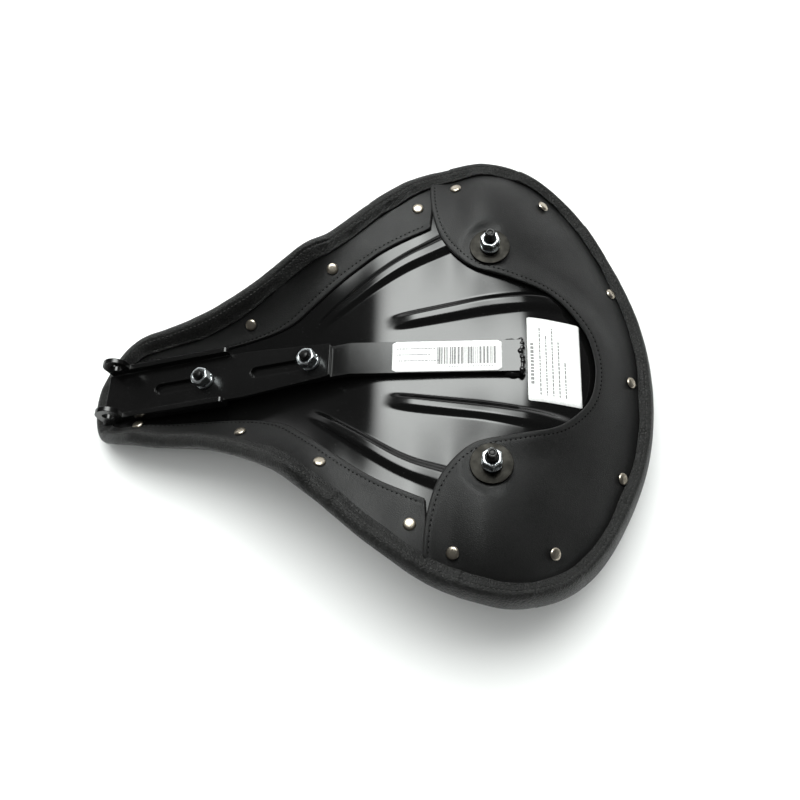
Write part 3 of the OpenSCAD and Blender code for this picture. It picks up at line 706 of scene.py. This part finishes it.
def hem_detail(rows, arc, total):
    """Puckers across the band, a sunk stitch line on the crest and the stepped folds at the pleats."""
    count = len(rows)
    done = []
    for k, row in enumerate(rows):
        v = k / (count - 1)
        inner = smooth(1 - v / 0.42)
        pucker = ripple(arc, v, [(21, 0.9, 0.26, 0.3), (34, -0.7, 0.36, 1.9), (57, 0.5, 0.34, 4.0),
                                 (12.7, 1.3, 0.13, 2.2)])
        wander = ripple(arc, v, [(83, 0.1, 0.35, 0.8), (47, -0.2, 0.22, 2.9), (29, 0.1, 0.1, 5.0)])
        fold = np.zeros_like(arc)
        for where, height in PLEATS:
            behind = (arc - where * total) % total
            ahead = (where * total - arc) % total
            fold += height * np.exp(-behind / 9) - height * 0.6 * np.exp(-(ahead / 1.6) ** 2)
        seam = -0.6 * math.exp(-((v - SEAM_SHARE) / 0.022) ** 2)
        offset = pucker * (0.35 + 0.65 * inner) + fold * (1 - 0.5 * v) + seam
        shifted = row.copy()
        shifted[:, 2] += offset
        if v < 0.2:
            centre = np.array([row[:, 0].mean(), 0.0])
            away = unit(row[:, :2] - centre)
            shifted[:, :2] += away * (wander * (1 - v / 0.2))[:, None]
        done.append(shifted)
    return done


def edge_hem():
    t, side = stations(420)
    arc, total = arc_length(outline(t, side))
    outer = hem_detail(hem_face(t, side, 0.0), arc, total)
    inner = hem_detail(hem_face(t, side, -LEATHER_T * 0.8), arc, total)
    inner[0] = inner[0] + [0, 0, -0.2]
    points, faces = skin(outer + inner[::-1], closed=True)
    hem = mesh_object("rolled_hem", points, faces, HEM_LEATHER, "hem_leather", stands_for=["edge_hem"])
    crest = outer[int(round(SEAM_SHARE * (len(outer) - 1)))]
    sew("hem_stitches", crest, 0.3, HEM_THREAD, "hem_leather", 2.7, 0.45, closed=True)
    return hem


# ---------------------------------------------------------------- stitches

def stitch_shape(length, thick, sides=6, rings=5):
    """One stitch along X: a short thread that dives at both ends."""
    loops = []
    for k in range(rings):
        u = -1 + 2 * k / (rings - 1)
        radius = thick * math.sqrt(max(0.08, 1 - abs(u) ** 3))
        drop = -thick * 1.3 * u ** 4
        a = round_angles(sides)
        loops.append(np.column_stack([np.full(sides, u * length / 2), radius * np.cos(a),
                                      drop + radius * np.sin(a)]))
    return capped(loops)


def sew(name, line, height, material, slot, length, thick, closed=False):
    """A row of separate stitches along a line of points."""
    route = np.vstack([line, line[:1]]) if closed else line
    step = np.linalg.norm(np.diff(route, axis=0), axis=1)
    run = np.concatenate([[0], np.cumsum(step)])
    count = int(run[-1] / STITCH_PITCH)
    where = (np.arange(count) + 0.5) * run[-1] / count

    def at(place_on):
        return np.column_stack([np.interp(place_on, run, route[:, k]) for k in range(3)])

    points = at(where)
    ahead, behind = at(np.minimum(where + 1, run[-1])), at(np.maximum(where - 1, 0))
    shape = stitch_shape(length, thick)
    parts = []
    for p, d in zip(points, unit(ahead - behind)):
        along = Vector(d)
        across = Vector((0, 0, 1)).cross(along).normalized()
        up = along.cross(across)
        turn = np.array([along, across, up]).T
        parts.append((shape[0] @ turn.T + p + np.array(up) * height, shape[1]))
    return mesh_object(name, *merge(parts), material, slot)


# ---------------------------------------------------------------- panels

SEAM_IN = 4.6
FLAT_LOW, FLAT_HIGH = box_mm("rear_flat_washer_left")
WASHER_LOW, WASHER_R = FLAT_LOW[2], (FLAT_HIGH[0] - FLAT_LOW[0]) / 2 + 0.5
NEAR_EDGE = [0, 0.35, 0.9, 1.6, 2.4, 3.2, 3.7, 4.15, 4.6, 5.05, 5.5, 6.0, 7.0, 8.5, 10.5]


def panel_rows(q_in, q_out, lift, reach, waves):
    """Rows of a panel's upper face from its free edge to its tucked edge."""
    span = np.linalg.norm(q_out - q_in, axis=1)
    arc = np.concatenate([[0], np.cumsum(np.linalg.norm(np.diff(q_in, axis=0), axis=1))])
    rows = []
    fractions = np.linspace(0, 1, 24)[1:]
    for k in range(len(NEAR_EDGE) + len(fractions)):
        if k < len(NEAR_EDGE):
            away = np.minimum(np.full(len(span), NEAR_EDGE[k]), span * 0.9 * (k + 1) / len(NEAR_EDGE))
        else:
            start = np.minimum(NEAR_EDGE[-1], span * 0.9)
            away = start + (span - start) * fractions[k - len(NEAR_EDGE)]
        q = q_in + (q_out - q_in) * (away / span)[:, None]
        rise = lift * (1 - smooth(away / reach))
        sunk = -0.2 * np.exp(-((away - SEAM_IN) / 1.1) ** 2)
        rim = -0.5 * np.exp(-(away / 0.5) ** 2)
        wave = ripple(arc, away / 40, waves) * np.minimum(1, away / 12) * np.minimum(1, (span - away) / 12)
        row = on_pan(q, PANEL_GAP + LEATHER_T + rise + sunk + rim + wave)
        off_stud = np.hypot(q[:, 0] - STUD_X, np.abs(q[:, 1]) - STUD_Y)
        pressed = 1 - smooth((off_stud - WASHER_R) / 9)
        row[:, 2] -= pressed * np.maximum(0, row[:, 2] - (WASHER_LOW - 0.2))
        rows.append(row)
    return rows


def panel_piece(name, q_in, q_out, lift, reach, waves, node_name):
    rows = panel_rows(q_in, q_out, lift, reach, waves)
    under = [row - [0, 0, LEATHER_T - 0.3] for row in rows]
    loops = rows + under[::-1]
    points, faces = skin(loops, ring=False, closed=True)
    columns, count = len(q_in), len(loops)
    first = [k * columns for k in range(count)]
    last = [k * columns + columns - 1 for k in range(count)]
    half = count // 2
    for ends in (first, last):
        faces += [(ends[j], ends[j + 1], ends[count - j - 2], ends[count - j - 1]) for j in range(half - 1)]
    slot = "panel_leather"
    made = mesh_object(name, points, faces, PANEL_LEATHER, slot, stands_for=[node_name])
    seam = rows[NEAR_EDGE.index(SEAM_IN)]
    sew(name + "_stitches", seam[3:-3], 0.0, DARK_THREAD, slot, 2.2, 0.55)
    return made


def rear_panel():
    u = np.linspace(0, 1, 171)
    fractions = path(PANEL_EDGE, 1 - u, (0, PANEL_EDGE[1][1]), np.subtract(PANEL_EDGE[-1], PANEL_EDGE[-2]))
    edge_t = PANEL_START + (1 - PANEL_START) * u
    q_in = np.vstack([place(fractions, 1), place(fractions, -1)[-2::-1]])
    q_out = np.vstack([inset(edge_t, 1, PAN_INSET), inset(edge_t, -1, PAN_INSET)[-2::-1]])
    waves = [(90, 0.35, 0.35, 0.4), (61, -0.5, 0.22, 2.0), (140, 0.2, 0.4, 4.4)]
    return panel_piece("horseshoe_panel", q_in, q_out, 2.8, 26, waves, "rear_panel")


def side_panel(side, node_name):
    u = np.linspace(0, 1, 151)
    fractions = path(SIDE_EDGE, u, np.subtract(SIDE_EDGE[1], SIDE_EDGE[0]),
                     np.subtract(SIDE_EDGE[-1], SIDE_EDGE[-2]))
    q_in = place(fractions, side)
    q_out = inset(SIDE_START + (SIDE_END - SIDE_START) * u, side, PANEL_INSET)
    waves = [(75, 0.3, 0.15, 0.2 + side), (48, -0.4, 0.1, 1.0)]
    return panel_piece(node_name + "_leather", q_in, q_out, 0.0, 10, waves, node_name)


# ---------------------------------------------------------------- fasteners

def hex_solid(height, across_flats, bore, chamfer=0.55, sides=72):
    """Hexagon with cone-cut corners and a countersunk bore; bore 0 leaves it closed."""
    a = (np.arange(sides) + 0.5) / sides * 2 * math.pi
    flat = across_flats / 2
    hexagon = flat / np.cos((a + math.pi / 6) % (math.pi / 3) - math.pi / 6)
    corner = flat / math.cos(math.pi / 6)
    drop = (corner - flat) * chamfer
    levels = [(0, 0.0), (0.35, 0.45), (0.7, 0.75), (1, 1.0)]
    rings = []
    for share, z in levels:
        rings.append((np.minimum(hexagon, flat * 0.985 + (corner - flat * 0.985) * share), drop * z))
    rings += [(r, height - z) for r, z in rings[::-1]]
    loops = [level_ring(r, a, z) for r, z in rings]
    if not bore:
        return capped(loops)
    sink = 0.7
    inside = ((bore + sink, height), (bore, height - sink), (bore, sink), (bore + sink, 0))
    return skin(loops + [level_ring(r, a, z) for r, z in inside], closed=True)


def threaded_rod(low, high, radius, tip=0.9, sides=36):
    """Rod with a helical thread and a chamfered tip."""
    a = round_angles(sides)
    loops = []
    for z in np.arange(low, high + 1e-6, THREAD_PITCH / 6):
        turn = (z / THREAD_PITCH - a / (2 * math.pi)) % 1.0
        groove = 0.62 * np.abs(2 * turn - 1)
        limit = radius - max(0.0, z - (high - tip))
        r = np.minimum(radius - groove, limit)
        loops.append(level_ring(r, a, z))
    return capped(loops)


def lock_ring(turn):
    """Split spring washer: a square-section ring with a slanted gap, its ends sprung apart."""
    gap = math.radians(13)
    steps = 60
    bore = BOLT_R + 0.25
    corner = 0.25
    section = [(bore + corner, 0), (LOCK_R - corner, 0), (LOCK_R, corner), (LOCK_R, LOCK_T - corner),
               (LOCK_R - corner, LOCK_T), (bore + corner, LOCK_T), (bore, LOCK_T - corner), (bore, corner)]
    loops = []
    for k in range(steps + 1):
        u = k / steps
        loop = []
        for r, z in section:
            angle = turn + gap / 2 + u * (2 * math.pi - gap) + (z / LOCK_T - 0.5) * gap * 0.9
            loop.append((r * math.cos(angle), r * math.sin(angle), z))
        loops.append(np.array(loop))
    return capped(loops)


def flat_ring(outer, inner, thick):
    rim = 0.4
    corners = [(outer - rim, rim, -90), (outer - rim, thick - rim, 0), (inner + rim, thick - rim, 90),
               (inner + rim, rim, 180)]
    profile = [p for x, z, start in corners for p in arc_profile(x, z, rim, start, start + 90)]
    return turned(profile, 96, cap=False)


def rivet_shape(head_r, height, tail):
    """Low domed head with a rolled rim and a turned shank."""
    rim = 0.55
    crown = [(r, rim * 0.9 + (height - rim * 0.9) * (1 - (r / head_r) ** 4) ** 0.8)
             for r in head_r * np.array([0.03, 0.2, 0.4, 0.6, 0.75, 0.86, 0.93])]
    edge = arc_profile(head_r - rim * 0.5, rim * 0.5, rim * 0.5, 60, -90, 6)
    return turned([(2.0, -tail), (2.0, 0)] + edge[::-1] + crown[::-1], 40)


def slope_frame(along, turn=0.0):
    """Placement on the bracket's plane, at a distance along the slope from the hinge axis."""
    tilt = Matrix.Rotation(-SLOPE, 4, "Y")
    return tilt @ Matrix.Translation((along, 0, 0)) @ Matrix.Rotation(turn, 4, "Z")


def front_fastener(label, along, turn):
    nut_base = -HINGE_LIFT + SLIDE_GAP
    under = STRAP_H - STRAP_T - REST_GAP
    top = nut_base + LOCK_T + REST_GAP + NUT_H
    head = moved(hex_solid(5.0, NUT_AF, 0), Matrix.Translation((0, 0, under - 5.0)))
    rod = threaded_rod(under - 0.5, top + 2.6, BOLT_R - 0.02)
    bolt = moved(merge([head, rod]), slope_frame(along, turn))
    mesh_object(f"bolt_{label}", *bolt, DARK_STEEL, "zinc", stands_for=[f"front_bolt_{label}"])
    washer = moved(lock_ring(turn), slope_frame(along) @ Matrix.Translation((0, 0, nut_base)))
    mesh_object(f"lock_ring_{label}", *washer, ZINC, "zinc", stands_for=[f"front_lock_washer_{label}"])
    nut = moved(hex_solid(NUT_H, NUT_AF, BOLT_R + 0.05),
                slope_frame(along, turn) @ Matrix.Translation((0, 0, top - NUT_H)))
    mesh_object(f"nut_{label}", *nut, ZINC, "zinc", stands_for=[f"front_nut_{label}"])


def rear_fastener(side, label, turn):
    low, high = box_mm(f"rear_stud_{label}")
    flat_low, flat_high = box_mm(f"rear_flat_washer_{label}")
    lock_low, lock_high = box_mm(f"rear_lock_washer_{label}")
    nut_low, nut_high = box_mm(f"rear_nut_{label}")
    centre = Matrix.Translation((STUD_X, side * STUD_Y, 0))
    collar = turned([(9.6, low[2]), (10, low[2] + 0.4), (10, low[2] + 2.6), (9.6, low[2] + 3)], 48)
    rod = threaded_rod(low[2] + 1, high[2] - 1.2, BOLT_R - 0.02, tip=0.5)
    mesh_object(f"stud_{label}", *moved(merge([collar, rod]), centre), DARK_STEEL, "stud_steel",
                stands_for=[f"rear_stud_{label}"])
    tip = turned([(2.6, high[2] - 2.2), (3.3, high[2] - 1.2), (2.9, high[2] - 0.3), (2.7, high[2] - 0.05),
                  (2.5, high[2]), (2.3, high[2] - 0.05), (2.15, high[2] - 0.5)], 36)
    mesh_object(f"stud_tip_{label}", *moved(tip, centre), BRIGHT_STEEL, "stud_steel")
    core = turned([(2.4, high[2] - 1.0), (2.2, high[2] - 0.42), (1.2, high[2] - 0.3),
                   (0.3, high[2] - 0.26)], 36)
    mesh_object(f"stud_end_{label}", *moved(core, centre), DARK_STEEL, "stud_steel")
    disc = moved(flat_ring((flat_high[0] - flat_low[0]) / 2, BOLT_R + 0.2, flat_high[2] - flat_low[2]),
                 centre @ Matrix.Translation((0, 0, flat_low[2])))
    mesh_object(f"flat_washer_{label}", *disc, WASHER_STEEL, "washer_steel",
                stands_for=[f"rear_flat_washer_{label}"])
    ring = moved(lock_ring(turn), centre @ Matrix.Translation((0, 0, lock_low[2])))
    mesh_object(f"lock_ring_rear_{label}", *ring, ZINC, "zinc", stands_for=[f"rear_lock_washer_{label}"])
    nut = moved(hex_solid(NUT_H, NUT_AF, BOLT_R + 0.05),
                centre @ Matrix.Translation((0, 0, nut_low[2])) @ Matrix.Rotation(turn, 4, "Z"))
    mesh_object(f"nut_rear_{label}", *nut, ZINC, "zinc", stands_for=[f"rear_nut_{label}"])


def standing_frame(q):
    """Placement square to the pan at a plan point, at the panels' upper face."""
    e = 1.0
    here = np.atleast_2d(q)
    sx = (pan_z(here + [e, 0]) - pan_z(here - [e, 0]))[0] / (2 * e)
    sy = (pan_z(here + [0, e]) - pan_z(here - [0, e]))[0] / (2 * e)
    up = Vector((-sx, -sy, 1)).normalized()
    turn = Vector((0, 0, 1)).rotation_difference(up).to_matrix().to_4x4()
    foot = Vector((here[0, 0], here[0, 1], pan_z(here)[0])) + up * (PANEL_GAP + LEATHER_T + REST_GAP)
    return Matrix.Translation(foot) @ turn


def rivets(name, places, node_name):
    parts = [moved(rivet_shape(4.5, 1.7, 5.0), standing_frame(q)) for q in places]
    return mesh_object(name, *merge(parts), NICKEL, "rivet_nickel", stands_for=[node_name])


# ---------------------------------------------------------------- strap, bracket, weld

def rounded_copy(node_name, name, material, body, radius):
    """The CAD node's own shape with its sharp edges rounded."""
    source = frame["nodes"][node_name]
    source = source if isinstance(source, bpy.types.Object) else bpy.data.objects[source]
    obj = linked(name, source.data.copy())
    work = bmesh.new()
    work.from_mesh(obj.data)
    bmesh.ops.remove_doubles(work, verts=work.verts, dist=0.00001)
    bmesh.ops.dissolve_limit(work, angle_limit=math.radians(0.5), verts=work.verts, edges=work.edges)
    bmesh.ops.recalc_face_normals(work, faces=work.faces)
    work.to_mesh(obj.data)
    work.free()
    modify(obj, "round_edges", "BEVEL", width=radius * MM, segments=3, limit_method="ANGLE",
           angle_limit=math.radians(35))
    shade_smooth(obj)
    modify(obj, "flat_faces", "WEIGHTED_NORMAL", keep_sharp=False, weight=100)
    return finish_piece(obj, material, body, [node_name])


def strap_weld():
    """Ragged bead along the strap's end and round its corners."""
    rng = np.random.default_rng(7)
    low, high = box_mm("strap_weld")
    base = low[2] + 5.0
    half = STRAP_W / 2
    spots = [(WELD_X + 0.6 + rng.normal(0, 0.7), y, base + rng.normal(0, 0.4))
             for y in np.linspace(-half - 0.5, half + 0.5, 17)]
    for s in (1, -1):
        spots += [(x, s * (half + 0.3 + rng.normal(0, 0.25)), base - 2.8)
                  for x in np.linspace(WELD_X - 10, WELD_X, 7)]
    parts = []
    for x, y, z in spots:
        r = 2.6 + rng.normal(0, 0.4)
        ball = turned([(0.3 * r, -r), (0.75 * r, -0.66 * r), (r, 0), (0.75 * r, 0.66 * r), (0.3 * r, r)], 12)
        parts.append(moved(ball, Matrix.Translation((x, y, z))))
    weld = mesh_object("weld_bead", *merge(parts), WELD_ENAMEL, "weld_enamel", stands_for=["strap_weld"])
    apply_modifier(weld, modify(weld, "join", "REMESH", mode="VOXEL", voxel_size=0.0006,
                                use_smooth_shade=True))
    modify(weld, "soft", "SMOOTH", factor=0.5, iterations=3)
    return weld


# ---------------------------------------------------------------- labels

CARD_T, PRINT_T, CARD_ROWS = 0.25, 0.06, 14


def card(width, height, corner, steps=28):
    """Thin card with rounded corners, flat in XY."""
    loops = []
    for x in np.linspace(-width / 2, width / 2, steps):
        short = max(0.0, abs(x) - (width / 2 - corner))
        half = height / 2 - (corner - math.sqrt(max(0.0, corner ** 2 - short ** 2)) if short else 0.0)
        loops.append([(x, y, 0.0) for y in np.linspace(-half, half, CARD_ROWS)])
    points = np.array(loops).reshape(-1, 3)
    faces = grid_faces(steps, CARD_ROWS, ring=False)
    n, top, end = len(points), CARD_ROWS - 1, (steps - 1) * CARD_ROWS
    under = [tuple(k + n for k in f[::-1]) for f in faces]
    edge = list(range(CARD_ROWS)) + [i * CARD_ROWS + top for i in range(1, steps)]
    edge += [end + k for k in range(top - 1, -1, -1)] + [i * CARD_ROWS for i in range(steps - 2, 0, -1)]
    rim = [(a, b, b + n, a + n) for a, b in zip(edge, edge[1:] + edge[:1])]
    return np.vstack([points, points - [0, 0, CARD_T]]), faces + under + rim


def lay_card(name, part, centre_x, height_of, material, slot, node_name):
    """Lays a flat card on a surface given by its height."""
    points, faces = part
    points = points + [centre_x, 0, 0]
    points[:, 2] += height_of(points[:, :2])
    mesh_object(name, points, faces, material, slot, stands_for=[node_name])


def print_marks(rects, height_of):
    """Printed bars: thin plates (x0, y0, x1, y1) lying on a surface."""
    parts = []
    for x0, y0, x1, y1 in rects:
        xs, ys = np.linspace(x0, x1, 4), np.linspace(y0, y1, 6)
        grid = np.array([(x, y) for x in xs for y in ys])
        parts.append((np.column_stack([grid, height_of(grid) + PRINT_T]), grid_faces(4, 6, ring=False)))
    return merge(parts)


def plan_size(low, high):
    """Length, width and middle X of a box."""
    return high[0] - low[0], high[1] - low[1], (low[0] + high[0]) / 2


def bar_label():
    low, high = box_mm("bar_label")
    length, width, centre_x = plan_size(low, high)
    lift = REST_GAP + 0.3

    def height_of(q):
        return strap_top(q[:, 0]) + lift

    lay_card("label_card", card(length, width, 1.6), centre_x, height_of, LABEL_PAPER,
             "label_paper", "bar_label")
    rng = np.random.default_rng(11)
    rects = []
    x = low[0] + length * 0.41
    while x < high[0] - 5.5:
        w = rng.choice([0.6, 0.6, 1.1, 1.6])
        rects.append((x, -width * 0.27, x + w, width * 0.3))
        x += w + rng.choice([0.4, 0.4, 0.8, 1.1])
    for row, (start, stop) in enumerate([(0.04, 0.4), (0.04, 0.33), (0.06, 0.42)]):
        y = width * (0.26 - 0.2 * row)
        x = low[0] + length * start
        while x < low[0] + length * stop:
            w = rng.uniform(0.8, 2.2)
            rects.append((x, y - 0.5, x + w, y + 0.5))
            x += w + rng.uniform(0.4, 0.9)
    x = low[0] + length * 0.52
    while x < high[0] - 7:
        rects.append((x, -width * 0.37, x + 1.0, -width * 0.37 + 0.9))
        x += 1.9
    mesh_object("label_bars", *print_marks(rects, height_of), INK, "label_paper")


def inspection_tag():
    low, high = box_mm("inspection_tag")
    length, width, centre_x = plan_size(low, high)
    lift = 3 * REST_GAP + 0.3

    def height_of(q):
        corner = smooth((np.abs(q[:, 1]) - width * 0.3) / (width * 0.25)) * smooth((q[:, 0] - centre_x) / 20)
        return pan_height(q) + lift + 0.8 * corner

    lay_card("tag_card", card(length, width, 0.6, steps=24), centre_x, height_of, TAG_PAPER,
             "tag_paper", "inspection_tag")
    rng = np.random.default_rng(5)
    rects = []
    heading = low[0] + 2.2
    y = -width * 0.3
    while y < width * 0.2:
        h = rng.uniform(1.6, 2.6)
        rects.append((heading, y, heading + 2.4, y + h))
        y += h + 0.8
    for k in range(5):
        x = low[0] + 8.5 + k * 4.6
        y = -width * 0.42
        stop = width * (0.36, 0.3, 0.38, 0.24, 0.0)[k]
        while y < stop:
            h = rng.uniform(0.9, 3.2)
            rects.append((x, y, x + 1.1, y + h))
            y += h + 0.7
    mesh_object("tag_lines", *print_marks(rects, height_of), INK, "tag_paper")


# ---------------------------------------------------------------- stage

CAMERA_PLACE = (0.281511, -0.374079, 0.736964)
CAMERA_RIGHT = (0.997707, 0.029270, -0.061022)
CAMERA_DOWN = (-0.000858, -0.896101, -0.443850)
CAMERA_AHEAD = (-0.067674, 0.442885, -0.894021)
LENS, SENSOR = 48.6, 36.0


def camera():
    data = bpy.data.cameras.new("camera")
    data.lens, data.sensor_width = LENS, SENSOR
    data.clip_start, data.clip_end = 0.01, 50
    obj = linked("camera", data)
    turn = Matrix((CAMERA_RIGHT, [-k for k in CAMERA_DOWN], [-k for k in CAMERA_AHEAD])).transposed()
    obj.matrix_world = Matrix.Translation(CAMERA_PLACE) @ turn.to_4x4()
    bpy.context.scene.camera = obj


KEY_RADIANCE, BEHIND_RADIANCE, OVERHEAD_RADIANCE = 9.5, 2.9, 1.4
WORLD_LOW, WORLD_HORIZON = 0.07, 1.2
LIGHT_TINT = (0.97, 1.0, 0.98)


def fade(tree, value, start, end, low=0.0, high=1.0):
    inputs = {"Value": value, "From Min": start, "From Max": end, "To Min": low, "To Max": high}
    return node(tree, "ShaderNodeMapRange", inputs, interpolation_type="SMOOTHSTEP").outputs[0]


def calculate(tree, operation, *values):
    return node(tree, "ShaderNodeMath", dict(enumerate(values)), operation=operation).outputs[0]


def softbox(name, place, target, width, height, radiance, soft=0.0, glossy=True, diffuse=True):
    """Area light; soft is the share of its half size over which it fades out at the rim."""
    data = bpy.data.lights.new(name, "AREA")
    data.shape, data.size, data.size_y = "RECTANGLE", width, height
    data.energy = radiance * 4 * width * height
    data.color = LIGHT_TINT
    obj = linked(name, data)
    obj.location = place
    obj.rotation_euler = (Vector(target) - Vector(place)).to_track_quat("-Z", "Y").to_euler()
    obj.visible_glossy, obj.visible_diffuse = glossy, diffuse
    if soft:
        data.use_nodes = True
        tree = data.node_tree
        across = node(tree, "ShaderNodeSeparateXYZ",
                      {0: node(tree, "ShaderNodeNewGeometry").outputs["Parametric"]})
        fades = []
        for axis in ("X", "Y"):
            off = calculate(tree, "ABSOLUTE", calculate(tree, "SUBTRACT", across.outputs[axis], 0.5))
            fades.append(fade(tree, off, 0.5 - soft / 2, 0.5, 1.0, 0.0))
        tree.links.new(calculate(tree, "MULTIPLY", *fades), tree.nodes["Emission"].inputs["Strength"])


def dim_world():
    """Dark surroundings with a pale horizon behind the seat."""
    world = bpy.data.worlds.new("studio")
    bpy.context.scene.world = world
    world.use_nodes = True
    tree = world.node_tree
    way = node(tree, "ShaderNodeSeparateXYZ", {0: node(tree, "ShaderNodeTexCoord").outputs["Generated"]})
    share = calculate(tree, "MULTIPLY", fade(tree, way.outputs["Y"], 0.45, 0.9),
                      fade(tree, way.outputs["Z"], 0.2, 0.65, 1.0, 0.0))
    level = calculate(tree, "MULTIPLY_ADD", share, WORLD_HORIZON, WORLD_LOW)
    background = tree.nodes["Background"]
    background.inputs["Color"].default_value = (1, 1, 1, 1)
    tree.links.new(level, background.inputs["Strength"])


def studio():
    bpy.context.scene.view_settings.view_transform = "Standard"
    dim_world()
    middle_place = (0.22, 0, 0)
    softbox("key", (0.16, 0.72, 1.42), middle_place, 1.5, 1.1, KEY_RADIANCE, soft=0.7, diffuse=False)
    softbox("behind", (0.16, 0.7, 1.9), middle_place, 2.6, 1.8, BEHIND_RADIANCE, glossy=False)
    softbox("overhead", (0.2, -0.1, 2.0), middle_place, 3, 3, OVERHEAD_RADIANCE, glossy=False)
    bpy.ops.mesh.primitive_grid_add(x_subdivisions=8, y_subdivisions=8, size=8,
                                    location=(0.2, 0, REST_Z * MM - 0.0002))
    floor = bpy.context.active_object
    floor.name = "floor"
    floor.data.materials.append(FLOOR_PAINT)


# ---------------------------------------------------------------- the seat

camera()
studio()
seat_pan()
seat_cushion()
edge_hem()
rear_panel()
side_panel(1, "side_panel_left")
side_panel(-1, "side_panel_right")
rivets("panel_rivets", [place(r, s)[0] for s in (1, -1) for r in REAR_RIVETS] + [place(TAIL_RIVET, 1)[0]],
       "rear_panel_rivets")
rivets("strip_rivets_left", [place(r, 1)[0] for r in STRIP_RIVETS], "side_rivets_left")
rivets("strip_rivets_right", [place(r, -1)[0] for r in [NOSE_RIVET] + STRIP_RIVETS],
       "side_rivets_right")
rounded_copy("centre_strap", "strap_bar", STRAP_ENAMEL, "root", 0.6)
rounded_copy("front_bracket", "hinge_bracket", BRACKET_ENAMEL, "front_bracket", 0.5)
strap_weld()
front_fastener("fore", FORE_BOLT, math.radians(12))
front_fastener("aft", AFT_BOLT, math.radians(20))
rear_fastener(1, "left", math.radians(18))
rear_fastener(-1, "right", math.radians(2))
bar_label()
inspection_tag()
